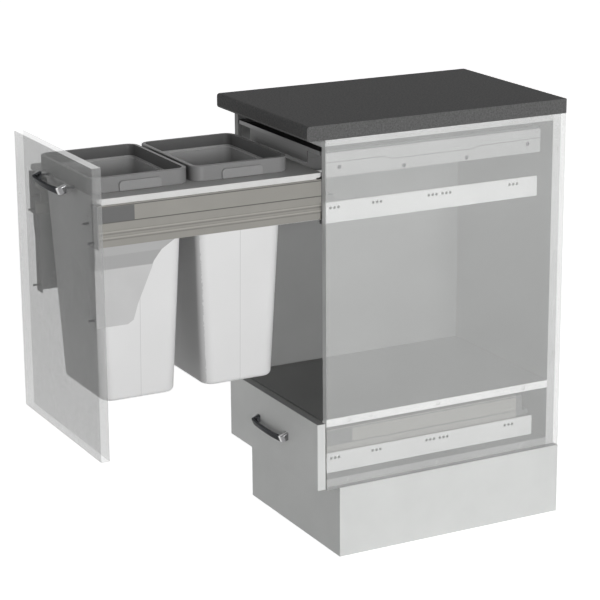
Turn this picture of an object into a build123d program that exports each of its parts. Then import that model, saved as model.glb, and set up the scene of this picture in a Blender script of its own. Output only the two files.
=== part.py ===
"""Base cabinet with a pull-out waste drawer and a low drawer.

Frame: X to the cabinet's right, Y to the wall, Z up. The origin is on the floor, on the wall
line, in the middle of the width. The waste drawer stands open and the low drawer is closed.
All sizes are millimetres.
"""

import os

from build123d import *

# Carcass boards
CABINET_WIDTH = 400.0
CARCASS_HEIGHT = 720.0
BOARD = 16.0
BACK_INSET = 2.0
BACK_BOARD = 19.0
PLINTH_HEIGHT = 150.0
PLINTH_SETBACK = 30.0
BENCHTOP_THICKNESS = 30.0
BENCHTOP_OVERHANG = 40.0
BENCHTOP_EDGE_RADIUS = 6.0
DOWEL_RADIUS = 4.0
DOWEL_LENGTH = 30.0
DOWEL_IN_SIDE = 12.0
DOWEL_END_INSET = 60.0
DOWEL_PLAY = 0.05
DOWEL_END_PLAY = 0.5
BENCHTOP_SCREW_INSET = 70.0
BENCHTOP_SCREW_RADIUS = 2.0
BENCHTOP_SCREW_DEPTH = 14.0

# Screws: heads as multiples of the shank's radius, and the play of their holes
HEAD_HEIGHT = 1.1
HEAD_RADIUS = 1.9
HEAD_CROWN = 0.6
CROSS_LENGTH = 2.2
CROSS_WIDTH = 0.45
CROSS_DEPTH = 0.5
CLEARANCE_PLAY = 0.1
PILOT_PLAY = 0.05
HOLE_DEEPER = 0.5
CUT_OVER = 1.0

# Fronts and their handles
FRONT_THICKNESS = 18.0
FRONT_SIDE_REVEAL = 1.0
FRONT_TOP_REVEAL = 3.5
FRONT_BOTTOM_REVEAL = 2.0
FRONT_JOINT = 3.0
FRONT_GAP = 2.0
FRONT_EDGE_RADIUS = 0.8
HANDLE_HOLE_SPACING = 128.0
HANDLE_FOOT_WIDTH = 14.0
HANDLE_BAR_INSET = 1.0
HANDLE_REACH = 19.0
HANDLE_BOW = 3.0
HANDLE_THICKNESS = 5.0
HANDLE_HEIGHT = 15.0
HANDLE_TILT = 22.0
HANDLE_DROP = 63.5
HANDLE_OUTER_BEND = 11.0
HANDLE_INNER_BEND = 4.0
HANDLE_LEG_WIDTH = 9.0
HANDLE_EDGE_RADIUS = 2.0
HANDLE_THREAD = 5.0
HANDLE_SCREW_RECESS = 2.6
COUNTERBORE_RADIUS = 4.2

# Runners, which set the depth of the cabinet and the travel of the drawers
RUNNER_SETBACK = 2.0
RUNNER_LENGTH = 500.0
RUNNER_BACK_CLEARANCE = 37.0
RUNNER_OVERLAP = 35.5
RUNNER_PLATE_HEIGHT = 42.0
RUNNER_ARM_HEIGHT = 4.0
RUNNER_SHEET = 1.2
RUNNER_HOLE_DROP = 11.5
RUNNER_HOLE_RADIUS = 2.2
RUNNER_FIRST_HOLE = 28.0
HOLE_GROUP_SPACING = 9.0
SYSTEM_PITCH = 32.0
BIN_RUNNER_DROP = 154.0
DRAWER_RUNNER_RISE = 14.0
DRAWER_HEADROOM = 10.0
CHANNEL_WIDTH = 9.7
CHANNEL_HEIGHT = 10.0
CHANNEL_LIP = 1.5
CHANNEL_CLEARANCE = 0.8
CHANNEL_SEPARATION = 2.0
DRAWER_RAIL_SETBACK = 4.0
MIDDLE_RAIL_START = 12.0
MIDDLE_RAIL_SHORTER = 60.0
MIDDLE_WEB = 1.6
MIDDLE_SIDE_PLAY = 0.7
MIDDLE_FLANGE_RISE = 1.4
GLIDE_LENGTH = 180.0
GLIDE_PLAY = 0.3
RUNNER_SCREW_RADIUS = 2.0
RUNNER_SCREW_LENGTH = 13.0

# Metal drawer sides
SIDE_CLEARANCE = 9.0
SIDE_SHORTER = 32.0
SIDE_HEIGHT = 80.0
SIDE_ABOVE_RUNNER = 8.0
SIDE_SHEET = 1.5
SIDE_TOP_WIDTH = 15.0
SIDE_BASE_WIDTH = 28.0
SIDE_BASE_FLANGE = 8.0
SIDE_INNER_DROP = 4.0
CHAMBER_HEIGHT = 16.0
RIDGE_HEIGHT = 5.0
RIDGE_OUT = 1.0
LOW_RIDGE = 15.0
HIGH_RIDGE = 26.0
SEAM_DROP = 33.0
SEAM_WIDTH = 1.0
LABEL_LENGTH = 73.0
LABEL_THICKNESS = 0.7
LABEL_TOP_DROP = 4.0
END_PLATE = 2.0
END_TAB_WIDTH = 30.0
END_TAB_HEIGHT = 26.0
END_TAB_TOP_DROP = 28.0
END_TAB_SCREW_INSET = 13.0
END_SCREW_DEPTH = 22.0
END_SCREW_RISE = 6.0
REAR_BRACKET_LENGTH = 14.0
REAR_HOOK_LENGTH = 29.0
REAR_HOOK_RISE = 36.0
REAR_HOOK_HEIGHT = 10.0
DRAWER_BASE_PLAY = 0.3
DRAWER_BACK_DROP = 6.0

# Stays that brace the tall front
STAY_SHEET = 2.0
STAY_RECESS = 15.0
STAY_JOGGLE = 6.0
STAY_JOGGLE_TOP = 21.0
STAY_JOGGLE_BOTTOM = 49.0
STAY_DROP = 161.0
STAY_TOP_DEPTH = 166.0
STAY_FOOT_DEPTH = 64.0
STAY_FOOT_CHAMFER = 7.0
STAY_CORNER_DROP = 2.0
STAY_CURVE_TOP = 31.0
STAY_CURVE_MIDDLE = 46.0
STAY_CURVE_MIDDLE_DROP = 43.4
STAY_CURVE_BOTTOM = 49.0
STAY_CURVE_BOTTOM_DROP = 54.0
STAY_SHIN = 22.0
STAY_SHIN_RISE = 38.0
STAY_ANKLE = 12.0
STAY_FLANGE_WIDTH = 26.0
STAY_SCREW_INSET = 8.0
STAY_SCREW_RISE = 14.0
FRONT_SCREW_RADIUS = 2.0
FRONT_SCREW_LENGTH = 14.0

# Carrier frame, buckets and liner collars
FRAME_EDGE_HEIGHT = 9.0
FRAME_PLATE = 3.0
FRAME_SKIRT = 3.0
FRAME_SHADOW_GAP = 4.0
FRAME_LONGER = 2.0
FRAME_REAR_MARGIN = 48.5
FRAME_SIDE_MARGIN = 43.5
FRAME_RIB_INSET = 4.0
FRAME_RIB_WIDTH = 8.0
FRAME_CORNER_RADIUS = 8.0
COLLAR_HEIGHT = 29.5
COLLAR_CORNER_RADIUS = 22.0
COLLAR_WALL = 3.0
COLLAR_TOP = 2.5
COLLAR_INNER_WALL = 2.0
COLLAR_EDGE_RADIUS = 1.6
COLLAR_INNER_DEPTH = 22.5
COLLAR_FRONT_GAP = 1.5
COLLAR_SPACING = 8.0
COLLAR_LIFT_GAP = 0.5
LUG_LENGTH = 84.0
LUG_HEIGHT = 13.0
LUG_OUT = 3.0
LUG_EDGE_RADIUS = 1.2
BUCKET_WALL = 2.2
BUCKET_DROP = 421.0
BUCKET_WIDTH_TAPER = 46.0
BUCKET_DEPTH_TAPER = 51.0
BUCKET_FLOOR_RADIUS = 26.0
BUCKET_FOOT_RADIUS = 9.0
BUCKET_SHOULDER = 4.2
BUCKET_SHOULDER_RADIUS = 18.0
FRAME_HOLE_PLAY = 1.5
FIT_PLAY = 0.3
SEAT_GAP = 0.2

# Lid and the ledges it lies on
LID_SHEET = 1.2
LID_HEM = 8.0
LID_CORNER_RADIUS = 6.0
LID_PLAY = 1.0
LID_ABOVE_COLLAR = 5.0
LID_FRONT_CLEARANCE = 1.2
SEAL_THICKNESS = 1.5
SEAL_HEIGHT = 24.0
SEAL_SIDE_INSET = 6.0
LEDGE_PLATE = 2.0
LEDGE_PLATE_HEIGHT = 48.0
LEDGE_WIDTH = 14.0
LEDGE_DROP = 4.0
LEDGE_SETBACK = 8.0
LEDGE_BACK_CLEARANCE = 31.0
LEDGE_SCREW_PITCH = 146.0
LEDGE_SCREW_HIGH = 19.0
LEDGE_SCREW_LOW = 6.5
LEDGE_LINE_HIGH = 30.0
LEDGE_LINE_LOW = 23.5
LEDGE_LINE_WIDTH = 0.8
LEDGE_LINE_DEPTH = 0.5
LEDGE_DIP_HALF = 102.0
LEDGE_DIP_SLOPE = 15.0
LEDGE_DIP_KICK = 2.0

# Derived planes and spans
HALF_WIDTH = CABINET_WIDTH / 2
INNER_HALF = HALF_WIDTH - BOARD
BACK_FRONT_FACE = -BACK_INSET - BACK_BOARD
FRONT_PLANE = BACK_FRONT_FACE - RUNNER_BACK_CLEARANCE - RUNNER_LENGTH - RUNNER_SETBACK
CARCASS_BOTTOM = PLINTH_HEIGHT
CARCASS_TOP = PLINTH_HEIGHT + CARCASS_HEIGHT
BAY_FLOOR = CARCASS_BOTTOM + BOARD
DRAWER_RUNNER = BAY_FLOOR + DRAWER_RUNNER_RISE
DRAWER_SIDE_BOTTOM = DRAWER_RUNNER + SIDE_ABOVE_RUNNER
SHELF_BOTTOM = DRAWER_SIDE_BOTTOM + SIDE_HEIGHT + DRAWER_HEADROOM
SHELF_TOP = SHELF_BOTTOM + BOARD
TOP_PANEL_BOTTOM = CARCASS_TOP - BOARD
BIN_RUNNER = TOP_PANEL_BOTTOM - BIN_RUNNER_DROP
BIN_SIDE_BOTTOM = BIN_RUNNER + SIDE_ABOVE_RUNNER

BIN_OPENING = RUNNER_LENGTH - RUNNER_OVERLAP
FRONT_HALF = HALF_WIDTH - FRONT_SIDE_REVEAL
DRAWER_FRONT_BOTTOM = CARCASS_BOTTOM + FRONT_BOTTOM_REVEAL
DRAWER_FRONT_TOP = SHELF_TOP - FRONT_BOTTOM_REVEAL
BIN_FRONT_BOTTOM = DRAWER_FRONT_TOP + FRONT_JOINT
BIN_FRONT_TOP = CARCASS_TOP - FRONT_TOP_REVEAL
CLOSED_BACK_PLANE = FRONT_PLANE - FRONT_GAP
OPEN_BACK_PLANE = CLOSED_BACK_PLANE - BIN_OPENING

SIDE_LENGTH = RUNNER_LENGTH - SIDE_SHORTER
SIDE_OUTER = INNER_HALF - SIDE_CLEARANCE
SIDE_START = END_PLATE
SIDE_END = SIDE_START + SIDE_LENGTH

CHANNEL_OUTER = SIDE_OUTER - SIDE_SHEET - CHANNEL_CLEARANCE
CHANNEL_INNER = CHANNEL_OUTER - CHANNEL_WIDTH
CHANNEL_MIDDLE = (CHANNEL_OUTER + CHANNEL_INNER) / 2
RAIL_START = FRONT_PLANE + RUNNER_SETBACK
RAIL_END = RAIL_START + RUNNER_LENGTH
MIDDLE_RAIL_LENGTH = RUNNER_LENGTH - MIDDLE_RAIL_SHORTER

FRAME_LENGTH = SIDE_LENGTH + FRAME_LONGER
FRAME_TOP = BIN_SIDE_BOTTOM + SIDE_HEIGHT + FRAME_SHADOW_GAP + FRAME_EDGE_HEIGHT
COLLAR_WIDTH = 2 * (SIDE_OUTER - FRAME_SIDE_MARGIN)
COLLAR_DEPTH = (FRAME_LENGTH - COLLAR_FRONT_GAP - COLLAR_SPACING - FRAME_REAR_MARGIN) / 2
COLLAR_BOTTOM = FRAME_TOP + COLLAR_LIFT_GAP
COLLAR_PITCH = COLLAR_DEPTH + COLLAR_SPACING
COLLAR_TOP_LEVEL = COLLAR_BOTTOM + COLLAR_HEIGHT
LID_BOTTOM = COLLAR_TOP_LEVEL + LID_ABOVE_COLLAR
LEDGE_TOP = LID_BOTTOM - SEAT_GAP
LEDGE_START = FRONT_PLANE + LEDGE_SETBACK
LEDGE_END = BACK_FRONT_FACE - LEDGE_BACK_CLEARANCE
LEDGE_MIDDLE = (LEDGE_START + LEDGE_END) / 2
LID_START = CLOSED_BACK_PLANE + LID_FRONT_CLEARANCE


def block(x, y, z):
    """Make a box from its (low, high) span along each axis."""
    size = [high - low for low, high in (x, y, z)]
    middle = [(high + low) / 2 for low, high in (x, y, z)]
    return Pos(*middle) * Box(*size)


def profile_along_y(points, y):
    """Extrude a closed X-Z outline along the Y span."""
    outline = Wire.make_polygon([(px, y[0], pz) for px, pz in points])
    return extrude(Face(outline), amount=y[1] - y[0], dir=(0, 1, 0))


def profile_along_x(points, x):
    """Extrude a closed Y-Z outline along the X span."""
    outline = Wire.make_polygon([(x[0], py, pz) for py, pz in points])
    return extrude(Face(outline), amount=x[1] - x[0], dir=(1, 0, 0))


def rod(start, direction, radius, length):
    """Make a round bar from a start point along a direction."""
    base = Plane(start, z_dir=direction)
    return base * Cylinder(radius, length, align=(Align.CENTER, Align.CENTER, Align.MIN))


def screw(seat, direction, radius, length):
    """Make a pan-head screw whose head sits on `seat`, with its shank along `direction`."""
    outward = tuple(-component for component in direction)
    head_height = radius * HEAD_HEIGHT
    head = rod(seat, outward, radius * HEAD_RADIUS, head_height)
    head = fillet(head.faces().sort_by(Axis(seat, outward))[-1].edges(), head_height * HEAD_CROWN)
    upright = (Align.CENTER, Align.CENTER, Align.MIN)
    slot = Box(radius * CROSS_LENGTH, radius * CROSS_WIDTH, head_height, align=upright)
    for turn in (0, 90):
        lift = Pos(0, 0, head_height * (1 - CROSS_DEPTH))
        head -= Plane(seat, z_dir=outward) * lift * Rot(0, 0, turn) * slot
    return head + rod(seat, direction, radius, length)


def wall_pilot(seat):
    """Make the pilot hole that a screw through a rail or bracket leaves in the side panel."""
    return rod(seat, (1, 0, 0), RUNNER_SCREW_RADIUS + PILOT_PLAY, RUNNER_SCREW_LENGTH + HOLE_DEEPER)


def mirrored(shape):
    """Copy a right-hand piece to the left of the cabinet."""
    return mirror(shape, about=Plane.YZ)


def pair(name, shape):
    """Name a right-hand piece and its mirrored left-hand twin."""
    return {f"{name}_right": shape, f"{name}_left": mirrored(shape)}


def both(shape):
    """Join a right-hand set of small pieces and its mirrored twin as one node."""
    return Compound(children=list(shape.solids()) + list(mirrored(shape).solids()))


# ---------------------------------------------------------------- carcass


def dowel_places():
    """List the dowels of the right side panel as (centre on the panel's inner face, axis)."""
    front = FRONT_PLANE + DOWEL_END_INSET
    rear = BACK_FRONT_FACE - DOWEL_END_INSET
    levels = (CARCASS_BOTTOM + BOARD / 2, SHELF_BOTTOM + BOARD / 2, TOP_PANEL_BOTTOM + BOARD / 2)
    places = [(y, z) for z in levels for y in (front, (front + rear) / 2, rear)]
    back_y = BACK_FRONT_FACE + BACK_BOARD / 2
    back_low = SHELF_TOP + DOWEL_END_INSET
    back_high = TOP_PANEL_BOTTOM - DOWEL_END_INSET
    places += [(back_y, z) for z in (back_low, (back_low + back_high) / 2, back_high)]
    return places


def side_dowel(place, play=0.0, end_play=0.0):
    """Make one dowel, or its hole, that crosses from a side panel into the end of another board."""
    y, z = place
    start = (INNER_HALF + DOWEL_IN_SIDE + end_play, y, z)
    return rod(start, (-1, 0, 0), DOWEL_RADIUS + play, DOWEL_LENGTH + 2 * end_play)


def plinth_dowel(y, play=0.0, end_play=0.0):
    """Make one upright dowel, or its hole, between a plinth side board and the side panel."""
    start = (INNER_HALF + BOARD / 2, y, CARCASS_BOTTOM - DOWEL_LENGTH / 2 - end_play)
    return rod(start, (0, 0, 1), DOWEL_RADIUS + play, DOWEL_LENGTH + 2 * end_play)


def plinth_dowel_stations():
    """List where the upright dowels stand along the depth."""
    return (FRONT_PLANE + PLINTH_SETBACK + BOARD + DOWEL_END_INSET, -BOARD - DOWEL_END_INSET)


def drill_dowels(board):
    """Cut every dowel's seat out of a board, on both sides of the cabinet."""
    for place in dowel_places():
        hole = side_dowel(place, DOWEL_PLAY, DOWEL_END_PLAY)
        board = board - hole - mirrored(hole)
    for station in plinth_dowel_stations():
        hole = plinth_dowel(station, DOWEL_PLAY, DOWEL_END_PLAY)
        board = board - hole - mirrored(hole)
    return board


def carcass():
    """Make the boards of the carcass, its plinth, its benchtop and what joins them."""
    inner_x = (-INNER_HALF, INNER_HALF)
    board_y = (FRONT_PLANE, BACK_FRONT_FACE)
    side = drill_dowels(block((INNER_HALF, HALF_WIDTH), (FRONT_PLANE, 0), (CARCASS_BOTTOM, CARCASS_TOP)))
    for seat in ledge_screw_seats() + runner_screw_seats(BIN_RUNNER) + runner_screw_seats(DRAWER_RUNNER):
        side -= wall_pilot(seat)
    plinth_x = (-HALF_WIDTH, HALF_WIDTH)
    plinth_front = FRONT_PLANE + PLINTH_SETBACK
    plinth_side = drill_dowels(
        block((INNER_HALF, HALF_WIDTH), (plinth_front + BOARD, -BOARD), (0, PLINTH_HEIGHT))
    )
    benchtop = block(
        (-HALF_WIDTH, HALF_WIDTH),
        (FRONT_PLANE - BENCHTOP_OVERHANG, 0),
        (CARCASS_TOP, CARCASS_TOP + BENCHTOP_THICKNESS),
    )
    front_edges = benchtop.edges().filter_by(Axis.X).group_by(Axis.Y)[0]
    benchtop = fillet(front_edges, BENCHTOP_EDGE_RADIUS)
    top_panel = drill_dowels(block(inner_x, board_y, (TOP_PANEL_BOTTOM, CARCASS_TOP)))
    fixings = []
    screw_x = INNER_HALF - BENCHTOP_SCREW_INSET
    for y in (FRONT_PLANE + BENCHTOP_SCREW_INSET, BACK_FRONT_FACE - BENCHTOP_SCREW_INSET):
        for x in (-screw_x, screw_x):
            seat = (x, y, TOP_PANEL_BOTTOM)
            fixings.append(screw(seat, (0, 0, 1), BENCHTOP_SCREW_RADIUS, BOARD + BENCHTOP_SCREW_DEPTH))
            top_panel -= rod(seat, (0, 0, 1), BENCHTOP_SCREW_RADIUS + CLEARANCE_PLAY, BOARD)
            pilot_depth = BENCHTOP_SCREW_DEPTH + HOLE_DEEPER
            pilot_start = (x, y, CARCASS_TOP)
            benchtop -= rod(pilot_start, (0, 0, 1), BENCHTOP_SCREW_RADIUS + PILOT_PLAY, pilot_depth)
    dowels = [side_dowel(place) for place in dowel_places()]
    dowels += [plinth_dowel(station) for station in plinth_dowel_stations()]
    pieces = {
        "benchtop": benchtop,
        "benchtop_screws": Compound(children=fixings),
        "top_panel": top_panel,
        "fixed_shelf": drill_dowels(block(inner_x, board_y, (SHELF_BOTTOM, SHELF_TOP))),
        "bottom_panel": drill_dowels(block(inner_x, board_y, (CARCASS_BOTTOM, BAY_FLOOR))),
        "back_panel": drill_dowels(
            block(inner_x, (BACK_FRONT_FACE, -BACK_INSET), (CARCASS_BOTTOM, CARCASS_TOP))
        ),
        "plinth_front": block(plinth_x, (plinth_front, plinth_front + BOARD), (0, PLINTH_HEIGHT)),
        "plinth_rear": block(plinth_x, (-BOARD, 0), (0, PLINTH_HEIGHT)),
        "carcass_dowels": both(Compound(children=dowels)),
    }
    pieces.update(pair("side_panel", side))
    pieces.update(pair("plinth_side", plinth_side))
    return pieces


# ---------------------------------------------------------------- runners


def hole_stations():
    """List the middles of the runner's hole groups, on the cabinet maker's pitch."""
    first = FRONT_PLANE + RUNNER_FIRST_HOLE
    return [first + step * SYSTEM_PITCH for step in (0, 3, 7, 8, 13)]


def runner_screw_seats(bottom):
    """List the screw seats on the right cabinet rail whose lower edge is at `bottom`."""
    x = INNER_HALF - RUNNER_SHEET
    z = bottom + RUNNER_PLATE_HEIGHT - RUNNER_HOLE_DROP
    stations = hole_stations()
    return [(x, y, z) for y in (stations[0], stations[2], stations[4])]


def cabinet_rail(bottom):
    """Fold the right cabinet rail: wall plate, arm and an upward channel."""
    sheet = RUNNER_SHEET
    arm = bottom + RUNNER_ARM_HEIGHT
    top = arm + CHANNEL_HEIGHT
    y = (RAIL_START, RAIL_END)
    rail = block((INNER_HALF - sheet, INNER_HALF), y, (bottom, bottom + RUNNER_PLATE_HEIGHT))
    rail += block((CHANNEL_INNER, INNER_HALF), y, (arm, arm + sheet))
    rail += block((CHANNEL_OUTER - sheet, CHANNEL_OUTER), y, (arm, top))
    rail += block((CHANNEL_INNER, CHANNEL_INNER + sheet), y, (arm, top))
    rail += block((CHANNEL_OUTER - sheet - CHANNEL_LIP, CHANNEL_OUTER), y, (top - sheet, top))
    rail += block((CHANNEL_INNER, CHANNEL_INNER + sheet + CHANNEL_LIP), y, (top - sheet, top))
    z = bottom + RUNNER_PLATE_HEIGHT - RUNNER_HOLE_DROP
    for station in hole_stations():
        for step in (-1, 0, 1):
            start = (INNER_HALF - 2 * sheet, station + step * HOLE_GROUP_SPACING, z)
            rail -= rod(start, (1, 0, 0), RUNNER_HOLE_RADIUS, 3 * sheet)
    return rail


def middle_levels(bottom):
    """Give the undersides of the middle rail's low and high flanges."""
    low_floor = bottom + RUNNER_ARM_HEIGHT + RUNNER_SHEET
    low_roof = low_floor + CHANNEL_HEIGHT - 2 * RUNNER_SHEET
    low = low_floor + MIDDLE_FLANGE_RISE
    high_roof = bottom + SIDE_ABOVE_RUNNER + CHAMBER_HEIGHT - SIDE_SHEET - RUNNER_SHEET
    high_floor = low_roof + 2 * RUNNER_SHEET + CHANNEL_SEPARATION
    high = (high_floor + high_roof - RUNNER_SHEET) / 2
    return low, high


def middle_rail(bottom, shift):
    """Make the right middle rail, an I section that runs half of the travel."""
    low, high = middle_levels(bottom)
    half = CHANNEL_WIDTH / 2 - RUNNER_SHEET - MIDDLE_SIDE_PLAY
    x = (CHANNEL_MIDDLE - half, CHANNEL_MIDDLE + half)
    y0 = RAIL_START + MIDDLE_RAIL_START + shift
    y = (y0, y0 + MIDDLE_RAIL_LENGTH)
    rail = block(x, y, (low, low + RUNNER_SHEET))
    web_x = (CHANNEL_MIDDLE - MIDDLE_WEB / 2, CHANNEL_MIDDLE + MIDDLE_WEB / 2)
    rail += block(web_x, y, (low, high + RUNNER_SHEET))
    rail += block(x, y, (high, high + RUNNER_SHEET))
    return rail


def glide(x_half, y, z, flange, web_z):
    """Make one nylon strip that wraps a flange of the middle rail."""
    strip = block((CHANNEL_MIDDLE - x_half, CHANNEL_MIDDLE + x_half), y, z)
    half = CHANNEL_WIDTH / 2 - RUNNER_SHEET - MIDDLE_SIDE_PLAY
    strip -= block((CHANNEL_MIDDLE - half, CHANNEL_MIDDLE + half), y, (flange, flange + RUNNER_SHEET))
    return strip - block((CHANNEL_MIDDLE - MIDDLE_WEB / 2, CHANNEL_MIDDLE + MIDDLE_WEB / 2), y, web_z)


def glides(bottom, shift):
    """Make the middle rail's two nylon strips: low at its rear, high at its front."""
    low, high = middle_levels(bottom)
    x_half = CHANNEL_WIDTH / 2 - RUNNER_SHEET - GLIDE_PLAY
    front = RAIL_START + MIDDLE_RAIL_START + shift
    rear = front + MIDDLE_RAIL_LENGTH
    arm = bottom + RUNNER_ARM_HEIGHT
    low_z = (arm + RUNNER_SHEET + GLIDE_PLAY, arm + CHANNEL_HEIGHT - RUNNER_SHEET - GLIDE_PLAY)
    roof = bottom + SIDE_ABOVE_RUNNER + CHAMBER_HEIGHT - SIDE_SHEET - RUNNER_SHEET
    high_floor = arm + CHANNEL_HEIGHT + CHANNEL_SEPARATION + RUNNER_SHEET
    high_z = (high_floor + GLIDE_PLAY, roof - GLIDE_PLAY)
    low_strip = glide(x_half, (rear - GLIDE_LENGTH, rear), low_z, low, (low, low_z[1]))
    high_strip = glide(x_half, (front, front + GLIDE_LENGTH), high_z, high, (high_z[0], high))
    return Compound(children=[low_strip, high_strip])


def drawer_rail(bottom, back_plane):
    """Fold the right drawer rail, a downward channel under the drawer side's inner shelf."""
    sheet = RUNNER_SHEET
    roof = bottom + SIDE_ABOVE_RUNNER + CHAMBER_HEIGHT - SIDE_SHEET
    floor = bottom + RUNNER_ARM_HEIGHT + CHANNEL_HEIGHT + CHANNEL_SEPARATION
    y = (back_plane + SIDE_START + DRAWER_RAIL_SETBACK, back_plane + SIDE_END)
    rail = block((CHANNEL_INNER, CHANNEL_OUTER), y, (roof - sheet, roof))
    rail += block((CHANNEL_OUTER - sheet, CHANNEL_OUTER), y, (floor, roof))
    rail += block((CHANNEL_INNER, CHANNEL_INNER + sheet), y, (floor, roof))
    rail += block((CHANNEL_OUTER - sheet - CHANNEL_LIP, CHANNEL_OUTER), y, (floor, floor + sheet))
    rail += block((CHANNEL_INNER, CHANNEL_INNER + sheet + CHANNEL_LIP), y, (floor, floor + sheet))
    return rail


def runners():
    """Make both pairs of runners and their screws."""
    middle_shift = -BIN_OPENING / 2
    pieces = {}
    pieces.update(pair("bin_cabinet_rail", cabinet_rail(BIN_RUNNER)))
    pieces.update(pair("bin_middle_rail", middle_rail(BIN_RUNNER, middle_shift)))
    pieces.update(pair("bin_glides", glides(BIN_RUNNER, middle_shift)))
    pieces.update(pair("bin_drawer_rail", drawer_rail(BIN_RUNNER, OPEN_BACK_PLANE)))
    pieces.update(pair("low_cabinet_rail", cabinet_rail(DRAWER_RUNNER)))
    pieces.update(pair("low_middle_rail", middle_rail(DRAWER_RUNNER, 0.0)))
    pieces.update(pair("low_glides", glides(DRAWER_RUNNER, 0.0)))
    pieces.update(pair("low_drawer_rail", drawer_rail(DRAWER_RUNNER, CLOSED_BACK_PLANE)))
    fixings = []
    for bottom in (BIN_RUNNER, DRAWER_RUNNER):
        for seat in runner_screw_seats(bottom):
            fixings.append(screw(seat, (1, 0, 0), RUNNER_SCREW_RADIUS, RUNNER_SCREW_LENGTH))
    pieces["runner_screws"] = both(Compound(children=fixings))
    return pieces


# ---------------------------------------------------------------- drawer boxes


def drawer_side(bottom, back_plane):
    """Fold the right metal drawer side, with its ridges, seam line and label recess."""
    sheet = SIDE_SHEET
    top = bottom + SIDE_HEIGHT
    shelf = bottom + CHAMBER_HEIGHT
    foot = bottom - SIDE_INNER_DROP
    y = (back_plane + SIDE_START, back_plane + SIDE_END)
    upper = SIDE_OUTER - SIDE_TOP_WIDTH
    lower = SIDE_OUTER - SIDE_BASE_WIDTH
    side = block((SIDE_OUTER - sheet, SIDE_OUTER), y, (bottom, top))
    side += block((upper, SIDE_OUTER), y, (top - sheet, top))
    side += block((upper, upper + sheet), y, (shelf - sheet, top))
    side += block((lower, SIDE_OUTER), y, (shelf - sheet, shelf))
    side += block((lower, lower + sheet), y, (foot, shelf))
    side += block((lower - SIDE_BASE_FLANGE, lower), y, (foot, foot + sheet))
    for level in (LOW_RIDGE, HIGH_RIDGE):
        z = bottom + level
        ridge = [
            (SIDE_OUTER - sheet / 2, z),
            (SIDE_OUTER, z),
            (SIDE_OUTER + RIDGE_OUT, z + RIDGE_OUT),
            (SIDE_OUTER + RIDGE_OUT, z + RIDGE_HEIGHT - RIDGE_OUT),
            (SIDE_OUTER, z + RIDGE_HEIGHT),
            (SIDE_OUTER - sheet / 2, z + RIDGE_HEIGHT),
        ]
        side += profile_along_y(ridge, y)
    seam = top - SEAM_DROP
    side -= block((SIDE_OUTER - sheet / 2, SIDE_OUTER + CUT_OVER), y, (seam - SEAM_WIDTH, seam))
    return side - label_plate(bottom, back_plane)


def label_plate(bottom, back_plane):
    """Make the plain inlay at the front of the right drawer side's upper band."""
    top = bottom + SIDE_HEIGHT
    start = back_plane + SIDE_START
    x = (SIDE_OUTER - LABEL_THICKNESS, SIDE_OUTER)
    return block(x, (start, start + LABEL_LENGTH), (top - SEAM_DROP, top - LABEL_TOP_DROP))


def end_plate(bottom, back_plane):
    """Make the steel plate that closes the right drawer side's front end, with its screw tab."""
    top = bottom + SIDE_HEIGHT
    lower = SIDE_OUTER - SIDE_BASE_WIDTH
    y = (back_plane, back_plane + END_PLATE)
    plate = block((lower, SIDE_OUTER), y, (bottom - SIDE_INNER_DROP, top))
    tab_top = top - END_TAB_TOP_DROP
    return plate + block((lower - END_TAB_WIDTH, lower), y, (tab_top - END_TAB_HEIGHT, tab_top))


def stay_outline(back_plane):
    """Outline the stay in the Y-Z plane: deep under the drawer side, shallow at its foot."""
    top = BIN_SIDE_BOTTOM + CHAMBER_HEIGHT - SIDE_SHEET
    foot = BIN_SIDE_BOTTOM - STAY_DROP
    deep = back_plane + STAY_TOP_DEPTH
    slender = back_plane + STAY_FOOT_DEPTH
    return [
        (back_plane, top),
        (deep, top),
        (deep, BIN_SIDE_BOTTOM - STAY_CORNER_DROP),
        (deep - STAY_CURVE_TOP, BIN_SIDE_BOTTOM - STAY_JOGGLE_TOP),
        (deep - STAY_CURVE_MIDDLE, BIN_SIDE_BOTTOM - STAY_CURVE_MIDDLE_DROP),
        (deep - STAY_CURVE_BOTTOM, BIN_SIDE_BOTTOM - STAY_CURVE_BOTTOM_DROP),
        (slender + STAY_SHIN, foot + STAY_SHIN_RISE),
        (slender + STAY_ANKLE, foot + STAY_FOOT_CHAMFER),
        (slender, foot),
        (back_plane, foot),
    ]


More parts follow.
